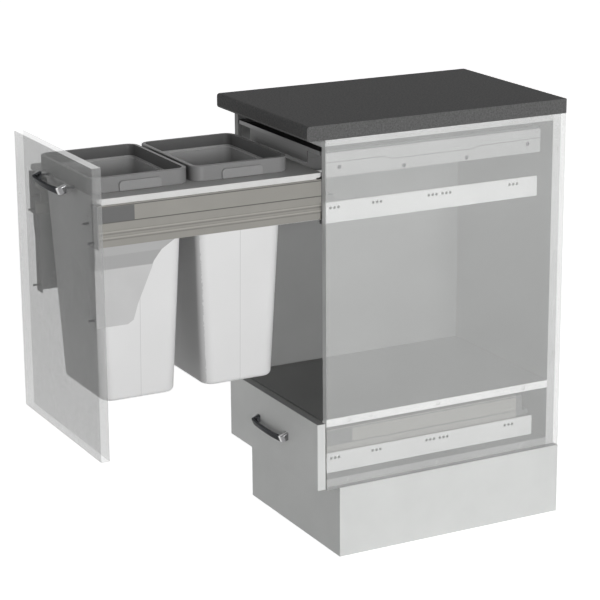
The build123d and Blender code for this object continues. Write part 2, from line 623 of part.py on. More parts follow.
def stay(back_plane):
    """Fold the right stay: a joggled web, a top flange and a flange against the front."""
    face = SIDE_OUTER - STAY_RECESS
    low_face = face - STAY_JOGGLE
    top = BIN_SIDE_BOTTOM + CHAMBER_HEIGHT - SIDE_SHEET
    foot = BIN_SIDE_BOTTOM - STAY_DROP
    joggle_top = BIN_SIDE_BOTTOM - STAY_JOGGLE_TOP
    joggle_bottom = BIN_SIDE_BOTTOM - STAY_JOGGLE_BOTTOM
    section = [
        (face, top),
        (face, joggle_top),
        (low_face, joggle_bottom),
        (low_face, foot),
        (low_face - STAY_SHEET, foot),
        (low_face - STAY_SHEET, joggle_bottom),
        (face - STAY_SHEET, joggle_top),
        (face - STAY_SHEET, top),
    ]
    web = profile_along_y(section, (back_plane, back_plane + STAY_TOP_DEPTH))
    web = web & profile_along_x(stay_outline(back_plane), (low_face - 2 * STAY_SHEET, face + STAY_SHEET))
    plate_edge = SIDE_OUTER - SIDE_BASE_WIDTH
    front_z = BIN_SIDE_BOTTOM - SIDE_INNER_DROP
    clear = block(
        (low_face - 2 * STAY_SHEET, face + STAY_SHEET),
        (back_plane - CUT_OVER, back_plane + END_PLATE),
        (front_z, top + CUT_OVER),
    )
    web -= clear
    flange_y = (back_plane, back_plane + STAY_SHEET)
    flange = block((low_face - STAY_FLANGE_WIDTH, low_face), flange_y, (foot, front_z))
    top_flange = block(
        (plate_edge + SIDE_SHEET, face),
        (back_plane + END_PLATE, back_plane + STAY_TOP_DEPTH),
        (top - STAY_SHEET, top),
    )
    return web + flange + top_flange


def rear_bracket(bottom, back_plane):
    """Make the right rear bracket, which closes the drawer side and hooks the rail."""
    top = bottom + SIDE_HEIGHT
    start = back_plane + SIDE_END
    x = (SIDE_OUTER - SIDE_BASE_WIDTH, SIDE_OUTER)
    hook_low = bottom + REAR_HOOK_RISE
    body = block(x, (start, start + REAR_BRACKET_LENGTH), (hook_low, top))
    return body + block(x, (start, start + REAR_HOOK_LENGTH), (hook_low, hook_low + REAR_HOOK_HEIGHT))


def handle_profile(foot, corner, reach, middle, radius):
    """Draw half of the bow as seen from above, closed a little behind the front's face."""
    behind = HANDLE_HEIGHT / 2
    outline = make_face(
        [
            Line((-foot, behind), (-foot, 0)),
            Line((-foot, 0), (-corner, -reach)),
            ThreePointArc((-corner, -reach), (0, -middle), (corner, -reach)),
            Line((corner, -reach), (foot, 0)),
            Line((foot, 0), (foot, behind)),
            Line((foot, behind), (-foot, behind)),
        ]
    )
    return fillet(outline.vertices().group_by(Axis.Y)[0], radius)


def handle(face_plane, level):
    """Bend the bow handle that droops from its feet on a front whose face is at the given Y."""
    foot = HANDLE_HOLE_SPACING / 2 + HANDLE_FOOT_WIDTH / 2
    corner = foot - HANDLE_BAR_INSET
    reach = HANDLE_REACH - HANDLE_BOW
    outer = handle_profile(foot, corner, reach, HANDLE_REACH, HANDLE_OUTER_BEND)
    inner = handle_profile(
        foot - HANDLE_FOOT_WIDTH,
        corner - HANDLE_LEG_WIDTH,
        reach - HANDLE_THICKNESS,
        HANDLE_REACH - HANDLE_THICKNESS,
        HANDLE_INNER_BEND,
    )
    bow = extrude(outer - inner, amount=HANDLE_HEIGHT / 2, both=True)
    back = bow.faces().sort_by(Axis.Y)[-1].center().Y
    rim = [edge for edge in bow.faces().filter_by(Axis.Z).edges() if edge.center().Y < back - PILOT_PLAY]
    bow = Rot(HANDLE_TILT, 0, 0) * fillet(rim, HANDLE_EDGE_RADIUS)
    around = 2 * HANDLE_REACH
    bow = bow & block((-2 * foot, 2 * foot), (-around, 0), (-around, around))
    for x in (-HANDLE_HOLE_SPACING / 2, HANDLE_HOLE_SPACING / 2):
        bow -= rod((x, 0, 0), (0, -1, 0), FRONT_SCREW_RADIUS + PILOT_PLAY, HANDLE_THREAD + HOLE_DEEPER)
    return Pos(0, face_plane, level) * bow


def handle_screws(back_plane, level):
    """Make the two sunk screws that hold a handle through its front."""
    seat_plane = back_plane - HANDLE_SCREW_RECESS
    length = FRONT_THICKNESS - HANDLE_SCREW_RECESS + HANDLE_THREAD
    places = (-HANDLE_HOLE_SPACING / 2, HANDLE_HOLE_SPACING / 2)
    return [screw((x, seat_plane, level), (0, -1, 0), FRONT_SCREW_RADIUS, length) for x in places]


def panel_front(z, back_plane, level, seats):
    """Make a front board with soft edges, handle holes and pilot holes at its screw seats."""
    y = (back_plane - FRONT_THICKNESS, back_plane)
    board = block((-FRONT_HALF, FRONT_HALF), y, z)
    board = fillet(board.edges(), FRONT_EDGE_RADIUS)
    for x in (-HANDLE_HOLE_SPACING / 2, HANDLE_HOLE_SPACING / 2):
        start = (x, back_plane, level)
        board -= rod(start, (0, -1, 0), FRONT_SCREW_RADIUS + CLEARANCE_PLAY, FRONT_THICKNESS)
        board -= rod(start, (0, -1, 0), COUNTERBORE_RADIUS, HANDLE_SCREW_RECESS)
    for x, seat_z in seats:
        for side in (-1, 1):
            hole_start = (side * x, back_plane, seat_z)
            board -= rod(hole_start, (0, -1, 0), FRONT_SCREW_RADIUS + PILOT_PLAY, FRONT_SCREW_LENGTH)
    return board


def end_seats(bottom):
    """List the X and Z of the two screws in a drawer side's end plate."""
    tab_x = SIDE_OUTER - SIDE_BASE_WIDTH - END_TAB_WIDTH + END_TAB_SCREW_INSET
    tab_z = bottom + SIDE_HEIGHT - END_TAB_TOP_DROP - END_TAB_HEIGHT / 2
    return [(tab_x, tab_z), (SIDE_OUTER - END_SCREW_DEPTH, bottom + END_SCREW_RISE)]


def stay_seats():
    """List the X and Z of the screw in the stay's front flange."""
    x = SIDE_OUTER - STAY_RECESS - STAY_JOGGLE - STAY_SHEET - STAY_SCREW_INSET
    return [(x, BIN_SIDE_BOTTOM - STAY_DROP + STAY_SCREW_RISE)]


def seat_screws(seats, back_plane, sheet):
    """Make the right-hand screws through a plate into the front board."""
    plane = back_plane + sheet
    return [screw((x, plane, z), (0, -1, 0), FRONT_SCREW_RADIUS, FRONT_SCREW_LENGTH) for x, z in seats]


def drill_seats(plate, seats, back_plane):
    """Cut the clearance holes of the front screws out of a right-hand plate."""
    for x, z in seats:
        start = (x, back_plane + 2 * END_PLATE, z)
        plate -= rod(start, (0, -1, 0), FRONT_SCREW_RADIUS + CLEARANCE_PLAY, 3 * END_PLATE)
    return plate


def bin_drawer():
    """Make the waste drawer's front, sides, stays and rear brackets."""
    plane = OPEN_BACK_PLANE
    level = BIN_FRONT_TOP - HANDLE_DROP
    seats = end_seats(BIN_SIDE_BOTTOM) + stay_seats()
    front = panel_front((BIN_FRONT_BOTTOM, BIN_FRONT_TOP), plane, level, seats)
    side = drawer_side(BIN_SIDE_BOTTOM, plane)
    plates = drill_seats(end_plate(BIN_SIDE_BOTTOM, plane), end_seats(BIN_SIDE_BOTTOM), plane)
    fixings = Compound(children=seat_screws(seats, plane, END_PLATE))
    grip_screws = handle_screws(plane, level)
    pieces = {
        "bin_front": front,
        "bin_handle": handle(plane - FRONT_THICKNESS, level),
        "bin_front_screws": Compound(children=list(both(fixings).solids()) + grip_screws),
        "bin_end_plates": both(plates),
        "bin_label_plates": both(label_plate(BIN_SIDE_BOTTOM, plane)),
        "bin_rear_brackets": both(rear_bracket(BIN_SIDE_BOTTOM, plane)),
    }
    pieces.update(pair("bin_side", side))
    pieces.update(pair("bin_stay", drill_seats(stay(plane), stay_seats(), plane)))
    return pieces


def low_drawer():
    """Make the low drawer's front, sides, base and back."""
    plane = CLOSED_BACK_PLANE
    level = DRAWER_FRONT_TOP - HANDLE_DROP
    seats = end_seats(DRAWER_SIDE_BOTTOM)
    front = panel_front((DRAWER_FRONT_BOTTOM, DRAWER_FRONT_TOP), plane, level, seats)
    base_bottom = DRAWER_SIDE_BOTTOM - SIDE_INNER_DROP + SIDE_SHEET
    base_half = SIDE_OUTER - SIDE_BASE_WIDTH - DRAWER_BASE_PLAY
    start = plane + END_PLATE
    end = plane + SIDE_END + REAR_BRACKET_LENGTH
    base = block((-base_half, base_half), (start, end), (base_bottom, base_bottom + BOARD))
    back_z = (base_bottom + BOARD, DRAWER_SIDE_BOTTOM + SIDE_HEIGHT - DRAWER_BACK_DROP)
    back = block((-base_half, base_half), (plane + SIDE_END, end), back_z)
    plates = drill_seats(end_plate(DRAWER_SIDE_BOTTOM, plane), seats, plane)
    fixings = Compound(children=seat_screws(seats, plane, END_PLATE))
    pieces = {
        "low_front": front,
        "low_handle": handle(plane - FRONT_THICKNESS, level),
        "low_front_screws": Compound(children=list(both(fixings).solids()) + handle_screws(plane, level)),
        "low_label_plates": both(label_plate(DRAWER_SIDE_BOTTOM, plane)),
        "low_rear_brackets": both(rear_bracket(DRAWER_SIDE_BOTTOM, plane)),
        "low_base": base,
        "low_back": back,
        "low_end_plates": both(plates),
    }
    pieces.update(pair("low_side", drawer_side(DRAWER_SIDE_BOTTOM, plane)))
    return pieces


# ---------------------------------------------------------------- frame, buckets, collars


def rounded_plate(width, depth, radius, z):
    """Make an upright block with rounded corners, centred on the Z axis."""
    outline = Pos(0, 0, z[0]) * RectangleRounded(width, depth, radius)
    return extrude(outline, amount=z[1] - z[0])


def tapered_block(low, high):
    """Loft between two rounded rectangles, each (width, depth, radius, z)."""
    sections = [
        Pos(0, 0, z) * RectangleRounded(width, depth, radius) for width, depth, radius, z in (low, high)
    ]
    return loft(sections)


def bucket_centres():
    """List the Y of the front and rear buckets' middles."""
    first = OPEN_BACK_PLANE + END_PLATE + COLLAR_FRONT_GAP + COLLAR_DEPTH / 2
    return first, first + COLLAR_PITCH


def rim_size(inset):
    """Give the width, depth and corner radius of the collar's outline, drawn in by `inset`."""
    return COLLAR_WIDTH - 2 * inset, COLLAR_DEPTH - 2 * inset, COLLAR_CORNER_RADIUS - inset


def shoulder_size(inset=0.0):
    """Give the bucket body's outline where it passes through the carrier frame."""
    width, depth, _ = rim_size(COLLAR_WALL + FIT_PLAY + BUCKET_SHOULDER + inset)
    return width, depth, BUCKET_SHOULDER_RADIUS - inset


def carrier_frame():
    """Fold the frame that carries the buckets on the drawer sides."""
    plane = OPEN_BACK_PLANE
    middle = plane + END_PLATE + FRAME_LENGTH / 2
    skirt = FRAME_SKIRT
    outline = (2 * SIDE_OUTER, FRAME_LENGTH, FRAME_CORNER_RADIUS)
    frame = rounded_plate(*outline, (FRAME_TOP - FRAME_EDGE_HEIGHT, FRAME_TOP))
    hollow = (2 * (SIDE_OUTER - skirt), FRAME_LENGTH - 2 * skirt, FRAME_CORNER_RADIUS - skirt)
    frame -= rounded_plate(*hollow, (FRAME_TOP - FRAME_EDGE_HEIGHT, FRAME_TOP - FRAME_PLATE))
    frame = Pos(0, middle, 0) * frame
    rib_x = (SIDE_OUTER - FRAME_RIB_INSET - FRAME_RIB_WIDTH, SIDE_OUTER - FRAME_RIB_INSET)
    rib_y = (plane + END_PLATE + FRAME_CORNER_RADIUS, plane + SIDE_END - FRAME_CORNER_RADIUS)
    rib = block(rib_x, rib_y, (BIN_SIDE_BOTTOM + SIDE_HEIGHT, FRAME_TOP - FRAME_PLATE))
    frame = frame + rib + mirrored(rib)
    width, depth, radius = shoulder_size()
    play = FRAME_HOLE_PLAY
    hole = rounded_plate(
        width + 2 * play,
        depth + 2 * play,
        radius + play,
        (FRAME_TOP - FRAME_EDGE_HEIGHT - CUT_OVER, FRAME_TOP + CUT_OVER),
    )
    for centre in bucket_centres():
        frame -= Pos(0, centre, 0) * hole
    return frame


def bucket():
    """Mould one tapered bucket with a shoulder that rests on the frame and an upright rim."""
    wall = BUCKET_WALL
    seat = FRAME_TOP + SEAT_GAP
    floor = FRAME_TOP - BUCKET_DROP
    rim_top = COLLAR_BOTTOM + COLLAR_HEIGHT - COLLAR_TOP - SEAT_GAP
    floor_width = COLLAR_WIDTH - BUCKET_WIDTH_TAPER
    floor_depth = COLLAR_DEPTH - BUCKET_DEPTH_TAPER
    foot = (floor_width, floor_depth, BUCKET_FLOOR_RADIUS, floor)
    neck = (*shoulder_size(), seat + wall)
    body = tapered_block(foot, neck)
    body = fillet(body.edges().group_by(Axis.Z)[0], BUCKET_FOOT_RADIUS)
    rim = rim_size(COLLAR_WALL + FIT_PLAY)
    body += rounded_plate(*rim, (seat, rim_top))
    inner_foot = (
        floor_width - 2 * wall,
        floor_depth - 2 * wall,
        BUCKET_FLOOR_RADIUS - wall,
        floor + wall,
    )
    inner_neck = (*shoulder_size(wall), seat + wall)
    cavity = tapered_block(inner_foot, inner_neck)
    cavity = fillet(cavity.edges().group_by(Axis.Z)[0], BUCKET_FOOT_RADIUS - wall)
    body -= cavity
    return body - rounded_plate(*rim_size(COLLAR_WALL + FIT_PLAY + wall), (seat + wall, rim_top))


def collar():
    """Mould one liner collar: a skirt outside the bucket's rim and a short wall inside it."""
    top = COLLAR_TOP_LEVEL
    slot_outer = COLLAR_WALL
    slot_inner = COLLAR_WALL + 2 * FIT_PLAY + BUCKET_WALL
    body = rounded_plate(*rim_size(0.0), (COLLAR_BOTTOM, top))
    body -= rounded_plate(*rim_size(slot_inner + COLLAR_INNER_WALL), (COLLAR_BOTTOM, top))
    slot = rounded_plate(*rim_size(slot_outer), (COLLAR_BOTTOM, top - COLLAR_TOP))
    inner_wall = rounded_plate(*rim_size(slot_inner), (top - COLLAR_INNER_DEPTH, top))
    body -= slot - inner_wall
    top_edges = body.faces().sort_by(Axis.Z)[-1].outer_wire().edges()
    body = fillet(top_edges, COLLAR_EDGE_RADIUS)
    lug_x = (COLLAR_WIDTH / 2 - COLLAR_WALL / 2, COLLAR_WIDTH / 2 + LUG_OUT)
    lug = block(lug_x, (-LUG_LENGTH / 2, LUG_LENGTH / 2), (COLLAR_BOTTOM, COLLAR_BOTTOM + LUG_HEIGHT))
    outer_edges = lug.faces().sort_by(Axis.X)[-1].edges()
    lug = fillet(outer_edges, LUG_EDGE_RADIUS)
    return body + lug + mirrored(lug)


def waste_set():
    """Place the carrier frame, the two buckets and their collars."""
    front, rear = bucket_centres()
    tub = bucket()
    ring = collar()
    return {
        "carrier_frame": carrier_frame(),
        "bucket_front": Pos(0, front, 0) * tub,
        "bucket_rear": Pos(0, rear, 0) * tub,
        "collar_front": Pos(0, front, 0) * ring,
        "collar_rear": Pos(0, rear, 0) * ring,
    }


# ---------------------------------------------------------------- lid and its ledges


def ledge_screw_seats():
    """List the screw seats on the right ledge bracket: outer pair high, inner pair low."""
    x = INNER_HALF - LEDGE_PLATE
    bottom = LEDGE_TOP + LEDGE_DROP - LEDGE_PLATE_HEIGHT
    inner = LEDGE_SCREW_PITCH / 2
    outer = inner + LEDGE_SCREW_PITCH
    high = [(x, LEDGE_MIDDLE + y, bottom + LEDGE_SCREW_HIGH) for y in (-outer, outer)]
    return high + [(x, LEDGE_MIDDLE + y, bottom + LEDGE_SCREW_LOW) for y in (-inner, inner)]


def ledge_line():
    """Make the stepped crease pressed into the right bracket's outer face."""
    bottom = LEDGE_TOP + LEDGE_DROP - LEDGE_PLATE_HEIGHT
    high = bottom + LEDGE_LINE_HIGH
    low = bottom + LEDGE_LINE_LOW
    dip_front = LEDGE_MIDDLE - LEDGE_DIP_HALF
    dip_rear = LEDGE_MIDDLE + LEDGE_DIP_HALF
    path = [
        (LEDGE_START, high),
        (dip_front - LEDGE_DIP_SLOPE, high),
        (dip_front, low),
        (dip_rear - LEDGE_DIP_SLOPE, low),
        (dip_rear, high - LEDGE_DIP_KICK),
        (LEDGE_END, high),
    ]
    lower_edge = [(y, z - LEDGE_LINE_WIDTH) for y, z in reversed(path)]
    return profile_along_x(path + lower_edge, (INNER_HALF - LEDGE_LINE_DEPTH, INNER_HALF + CUT_OVER))


def ledge_bracket():
    """Fold the right bracket: a wall plate with the ledge that the lid lies on."""
    y = (LEDGE_START, LEDGE_END)
    top = LEDGE_TOP + LEDGE_DROP
    plate_x = (INNER_HALF - LEDGE_PLATE, INNER_HALF)
    bracket = block(plate_x, y, (top - LEDGE_PLATE_HEIGHT, top))
    ledge_x = (INNER_HALF - LEDGE_PLATE - LEDGE_WIDTH, INNER_HALF)
    bracket += block(ledge_x, y, (LEDGE_TOP - LEDGE_PLATE, LEDGE_TOP))
    for seat in ledge_screw_seats():
        bracket -= rod(seat, (1, 0, 0), RUNNER_HOLE_RADIUS, LEDGE_PLATE)
    return bracket - ledge_line()


def lid():
    """Fold the loose lid, a flat sheet with its edges turned up."""
    half = INNER_HALF - LEDGE_PLATE - LID_PLAY
    y = (LID_START, LEDGE_END)
    top = LID_BOTTOM + LID_HEM
    tray = block((-half, half), y, (LID_BOTTOM, top))
    tray = fillet(tray.edges().filter_by(Axis.Z), LID_CORNER_RADIUS)
    sheet = LID_SHEET
    inner = block((sheet - half, half - sheet), (y[0] + sheet, y[1] - sheet), (LID_BOTTOM + sheet, top))
    inner = fillet(inner.edges().filter_by(Axis.Z), LID_CORNER_RADIUS - sheet)
    return tray - inner


def lid_seal():
    """Make the soft strip that hangs from the lid's front and shuts the gap before the collars."""
    half = COLLAR_WIDTH / 2 - SEAL_SIDE_INSET
    y = (LID_START, LID_START + SEAL_THICKNESS)
    return block((-half, half), y, (LID_BOTTOM - SEAL_HEIGHT, LID_BOTTOM))


def lid_set():
    """Make the lid, its seal, its two brackets and their screws."""
    seats = ledge_screw_seats()
    fixings = [screw(seat, (1, 0, 0), RUNNER_SCREW_RADIUS, RUNNER_SCREW_LENGTH) for seat in seats]
    pieces = {"lid": lid(), "lid_seal": lid_seal(), "ledge_screws": both(Compound(children=fixings))}
    pieces.update(pair("ledge_bracket", ledge_bracket()))
    return pieces


def main():
    """Write every piece as its own STEP file."""
    os.makedirs("parts", exist_ok=True)
    pieces = {}
    for group in (carcass, runners, bin_drawer, low_drawer, waste_set, lid_set):
        pieces.update(group())
    for name, shape in sorted(pieces.items()):
        export_step(shape, f"parts/{name}.step")
    print(len(pieces), "pieces")


if __name__ == "__main__":
    main()
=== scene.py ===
"""Looks of the pull-out waste cabinet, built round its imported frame.

Everything is in metres in the cabinet's own frame: X to its right, Y to the wall, Z up.
"""

import logging
import math
from dataclasses import dataclass, field
from enum import Enum
from typing import Callable, Optional, Sequence

import bmesh
import bpy
from mathutils import Matrix, Vector


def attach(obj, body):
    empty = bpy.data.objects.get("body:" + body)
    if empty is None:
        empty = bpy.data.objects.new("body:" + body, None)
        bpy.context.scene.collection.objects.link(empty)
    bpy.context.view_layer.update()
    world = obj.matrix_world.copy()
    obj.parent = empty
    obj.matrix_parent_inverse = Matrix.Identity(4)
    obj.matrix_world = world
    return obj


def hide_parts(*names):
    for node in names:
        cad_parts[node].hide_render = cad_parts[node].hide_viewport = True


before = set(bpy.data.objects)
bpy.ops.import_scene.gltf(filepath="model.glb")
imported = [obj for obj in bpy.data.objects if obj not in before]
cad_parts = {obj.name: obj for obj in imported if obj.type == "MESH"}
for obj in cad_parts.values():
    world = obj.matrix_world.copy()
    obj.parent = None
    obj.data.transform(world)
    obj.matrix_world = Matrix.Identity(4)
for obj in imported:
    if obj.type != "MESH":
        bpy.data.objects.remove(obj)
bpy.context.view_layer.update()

log = logging.getLogger("waste_cabinet")

Colour = tuple[float, float, float]
Point = tuple[float, float, float]
Material = bpy.types.Material
Socket = bpy.types.NodeSocket
Face = bpy.types.MeshPolygon
Draft = bmesh.types.BMesh

WHITE = (1.0, 1.0, 1.0, 1.0)
# Nearly all of a noise lies between these values.
NOISE_LOW, NOISE_HIGH = 0.3, 0.7
# The least share of a face's normal along the way that it looks.
FLAT = 0.9
# The right-hand side, then the left-hand side.
HANDS = (1.0, -1.0)
# Heights of the runners' holes, and the places along them that hold a screw.
RUNNER_LEVELS = (0.7305, 0.2105)
RUNNER_SCREWED = (-0.532, -0.308, -0.116)
# Places of the screws of the lid's brackets.
LEDGE_SCREWED = ((-0.521, 0.8108), (-0.083, 0.8108), (-0.375, 0.7983), (-0.229, 0.7983))


# ---- shader sketching


class Sketch:
    """A material's node tree, with short ways to add what the finishes share."""

    def __init__(self, name: str) -> None:
        """Start an empty tree with one Principled shader.

        Args:
            name: the material's name.
        """
        self.material = bpy.data.materials.new(name)
        self.material.use_nodes = True
        self.tree = self.material.node_tree
        self.tree.nodes.clear()
        self.shader = self.add("ShaderNodeBsdfPrincipled")
        output = self.add("ShaderNodeOutputMaterial")
        self.join(self.shader.outputs["BSDF"], output.inputs["Surface"])
        self.place = self.add("ShaderNodeTexCoord").outputs["Object"]

    def add(self, kind: str) -> bpy.types.Node:
        """Add one node of a kind."""
        return self.tree.nodes.new(kind)

    def join(self, source: Socket, target: Socket) -> None:
        """Link two sockets."""
        self.tree.links.new(source, target)

    def stretched(self, scale: Point) -> Socket:
        """Give the object's coordinates with each axis scaled, for grain and brushing.

        Args:
            scale: waves per metre along each axis.

        Returns:
            The scaled coordinates.
        """
        mapping = self.add("ShaderNodeMapping")
        mapping.inputs["Scale"].default_value = scale
        self.join(self.place, mapping.inputs["Vector"])
        return mapping.outputs["Vector"]

    def noise(self, scale: float, detail: float, place: Optional[Socket] = None) -> Socket:
        """Add a noise whose scale is in waves per metre.

        Args:
            scale: waves per metre.
            detail: octaves.
            place: coordinates, the object's own if left out.

        Returns:
            The noise's value.
        """
        node = self.add("ShaderNodeTexNoise")
        node.inputs["Scale"].default_value = scale
        node.inputs["Detail"].default_value = detail
        self.join(place or self.place, node.inputs["Vector"])
        return node.outputs["Fac"]

    def cells(self, scale: float) -> Socket:
        """Add the distance to the nearest of scattered points, `scale` of them per metre.

        Args:
            scale: points per metre.

        Returns:
            The distance.
        """
        node = self.add("ShaderNodeTexVoronoi")
        node.inputs["Scale"].default_value = scale
        self.join(self.place, node.inputs["Vector"])
        return node.outputs["Distance"]

    def ramp(self, value: Socket, low: float, high: float, start: Colour, end: Colour) -> Socket:
        """Turn a value into a colour between two colours.

        Args:
            value: the value.
            low: where the first colour ends.
            high: where the second one starts.
            start: the first colour.
            end: the second colour.

        Returns:
            The colour.
        """
        node = self.add("ShaderNodeValToRGB")
        first, last = node.color_ramp.elements
        first.position, first.color = low, (*start, 1.0)
        last.position, last.color = high, (*end, 1.0)
        self.join(value, node.inputs["Fac"])
        return node.outputs["Color"]

    def span(self, value: Socket, low: float, high: float, start: float, end: float) -> Socket:
        """Map a value from one span to another, held at the ends.

        Args:
            value: the value.
            low: the low end of its span.
            high: the high end of its span.
            start: the result at the low end.
            end: the result at the high end.

        Returns:
            The result.
        """
        node = self.add("ShaderNodeMapRange")
        for name, number in (("From Min", low), ("From Max", high), ("To Min", start), ("To Max", end)):
            node.inputs[name].default_value = number
        self.join(value, node.inputs["Value"])
        return node.outputs["Result"]

    def mixed(self, share: Socket, base: Socket, over: Socket) -> Socket:
        """Mix two colours by a share.

        Args:
            share: the share of the second colour.
            base: the first colour.
            over: the second colour.

        Returns:
            The mixed colour.
        """
        node = self.add("ShaderNodeMix")
        node.data_type = "RGBA"
        self.join(share, node.inputs[0])
        self.join(base, node.inputs[6])
        self.join(over, node.inputs[7])
        return node.outputs[2]

    def along(self, axis: str) -> Socket:
        """Give one of the object's coordinates, in metres.

        Args:
            axis: X, Y or Z.

        Returns:
            The coordinate.
        """
        split = self.add("ShaderNodeSeparateXYZ")
        self.join(self.place, split.inputs[0])
        return split.outputs[axis]

    def maths(self, operation: str, first: Socket, second: float = 0.0) -> Socket:
        """Combine a value with a number.

        Args:
            operation: the math node's operation.
            first: the value.
            second: the number.

        Returns:
            The result.
        """
        node = self.add("ShaderNodeMath")
        node.operation = operation
        self.join(first, node.inputs[0])
        node.inputs[1].default_value = second
        return node.outputs[0]

    def away(self, value: Socket, middle: float) -> Socket:
        """Give how far a coordinate is from a place."""
        return self.maths("ABSOLUTE", self.maths("SUBTRACT", value, middle))

    def stripe(self, value: Socket, middle: float, half: float, core: float = 0.4) -> Socket:
        """Give 1 on a thin line across a coordinate, fading to 0 at `half` from its middle."""
        return self.span(self.away(value, middle), half * core, half, 1.0, 0.0)

    def beyond(self, value: Socket, place: float, blend: float) -> Socket:
        """Give 1 past a place on a coordinate and 0 before it, blended round the place."""
        return self.span(value, place - blend, place + blend, 0.0, 1.0)

    def varied(
        self, value: Socket, tone: Colour, share: float, low: float = NOISE_LOW, high: float = NOISE_HIGH
    ) -> Socket:
        """Give a tone that a value makes up to a share darker or lighter."""
        return self.ramp(value, low, high, shade(tone, 1 - share), shade(tone, 1 + share))

    def over(self, share: Socket, base: Socket, tone: Colour) -> Socket:
        """Lay a tone over a colour by a share.

        Args:
            share: how much of the tone shows.
            base: the colour below.
            tone: the tone.

        Returns:
            The colour with the tone on it.
        """
        node = self.add("ShaderNodeRGB")
        node.outputs[0].default_value = (*tone, 1.0)
        return self.mixed(share, base, node.outputs[0])

    def colour(self, socket: Socket) -> None:
        """Set the shader's base colour."""
        self.join(socket, self.shader.inputs["Base Color"])

    def roughness(
        self, value: Socket, smooth: float, rough: float, low: float = NOISE_LOW, high: float = NOISE_HIGH
    ) -> None:
        """Let a value carry the shader's roughness from smooth to rough."""
        self.join(self.span(value, low, high, smooth, rough), self.shader.inputs["Roughness"])

    def relief(self, height: Socket, depth: float, strength: float) -> None:
        """Bump the surface by a height, `depth` metres from low to high.

        Args:
            height: the height, from 0 to 1.
            depth: metres from low to high.
            strength: how much of the bump shows.
        """
        node = self.add("ShaderNodeBump")
        node.inputs["Strength"].default_value = strength
        node.inputs["Distance"].default_value = depth
        self.join(height, node.inputs["Height"])
        self.join(node.outputs["Normal"], self.shader.inputs["Normal"])

    def fixed(self, **values: float | Sequence[float]) -> None:
        """Set constant shader values by their socket's name, with _ for a space."""
        for name, value in values.items():
            self.shader.inputs[name.replace("_", " ")].default_value = value


def shade(colour: Colour, factor: float) -> Colour:
    """Darken or lighten a colour by a factor."""
    return tuple(min(1.0, channel * factor) for channel in colour)


def grey(value: float) -> Colour:
    """Give a neutral colour."""
    return (value, value, value)


# ---- finishes


@dataclass(frozen=True)
class Finish:
    """A named look that becomes one material."""

    name: str

    def draw(self, sketch: Sketch) -> None:
        """Draw the look, which each kind of finish does in its own way."""
        raise NotImplementedError

    def marked(self, sketch: Sketch, face: Socket) -> Socket:
        """Lay the finish's own marks over its plain colour, where it has any."""
        return face

    def make(self) -> Material:
        """Build the material.

        Returns:
            The material.
        """
        sketch = Sketch(self.name)
        self.draw(sketch)
        return sketch.material


@dataclass(frozen=True)
class MelamineFinish(Finish):
    """Melamine-faced board: a fine orange-peel face with a faint mottle."""

    name: str = "melamine"
    tone: Colour = (0.74, 0.75, 0.74)
    mottle: float = 0.03
    opacity: float = 1.0
    # Glow makes a face give light though it is no lamp: painted light.
    glow: float = 0.0
    # A darker tone painted on the faces inside the carcass, standing for the shade there.
    inside: Optional[Colour] = None
    edge_line: float = 0.18395

    def draw(self, sketch: Sketch) -> None:
        """Draw the board, with painted shade inside the carcass where it has one: a darker tone within the
        edge line.

        Args:
            sketch: the material's tree.
        """
        cloud = sketch.noise(scale=9.0, detail=3.0)
        face = sketch.varied(cloud, self.tone, self.mottle)
        if self.inside is not None:
            across = sketch.maths("ABSOLUTE", sketch.along("X"))
            outside = sketch.maths("GREATER_THAN", across, self.edge_line)
            face = sketch.mixed(outside, sketch.varied(cloud, self.inside, self.mottle), face)
        sketch.colour(face)
        grain = sketch.noise(scale=1400.0, detail=2.0)
        sketch.roughness(grain, smooth=0.42, rough=0.56)
        sketch.relief(grain, depth=0.00004, strength=0.5)
        sketch.fixed(
            Specular_IOR_Level=0.35, Alpha=self.opacity, Emission_Strength=self.glow, Emission_Color=WHITE
        )


@dataclass(frozen=True)
class LaminateFinish(Finish):
    """Dark benchtop laminate with fine light and dark grains."""

    name: str = "speckled_laminate"
    tone: Colour = grey(0.1)
    grain: Colour = (0.19, 0.19, 0.185)
    pit: Colour = grey(0.03)

    def draw(self, sketch: Sketch) -> None:
        """Draw the ground, then the light grains, then the dark pits.

        Args:
            sketch: the material's tree.
        """
        cloud = sketch.noise(scale=240.0, detail=3.0)
        ground = sketch.varied(cloud, self.tone, share=0.15, low=0.35, high=0.65)
        grains = sketch.span(sketch.cells(scale=520.0), low=0.16, high=0.3, start=0.55, end=0.0)
        pits = sketch.span(sketch.cells(scale=310.0), low=0.1, high=0.2, start=0.7, end=0.0)
        sketch.colour(sketch.over(pits, sketch.over(grains, ground, self.grain), self.pit))
        texture = sketch.noise(scale=900.0, detail=3.0)
        sketch.roughness(texture, smooth=0.66, rough=0.8)
        sketch.relief(texture, depth=0.00006, strength=0.6)
        sketch.fixed(Specular_IOR_Level=0.08)


@dataclass(frozen=True)
class CoatedSteelFinish(Finish):
    """Powder-coated steel sheet with the coat's fine peel and a faint cloud in its tone."""

    tone: Colour
    rough: float
    rough_spread: float = 0.06
    mottle: float = 0.03

    def draw(self, sketch: Sketch) -> None:
        """Draw the coat.

        Args:
            sketch: the material's tree.
        """
        peel = sketch.noise(scale=1100.0, detail=2.0)
        sketch.roughness(peel, self.rough - self.rough_spread, self.rough + self.rough_spread)
        sketch.relief(peel, depth=0.00005, strength=0.45)
        sketch.fixed(Specular_IOR_Level=0.4)
        face = sketch.varied(sketch.noise(scale=14.0, detail=3.0), self.tone, self.mottle)
        sketch.colour(self.marked(sketch, face))


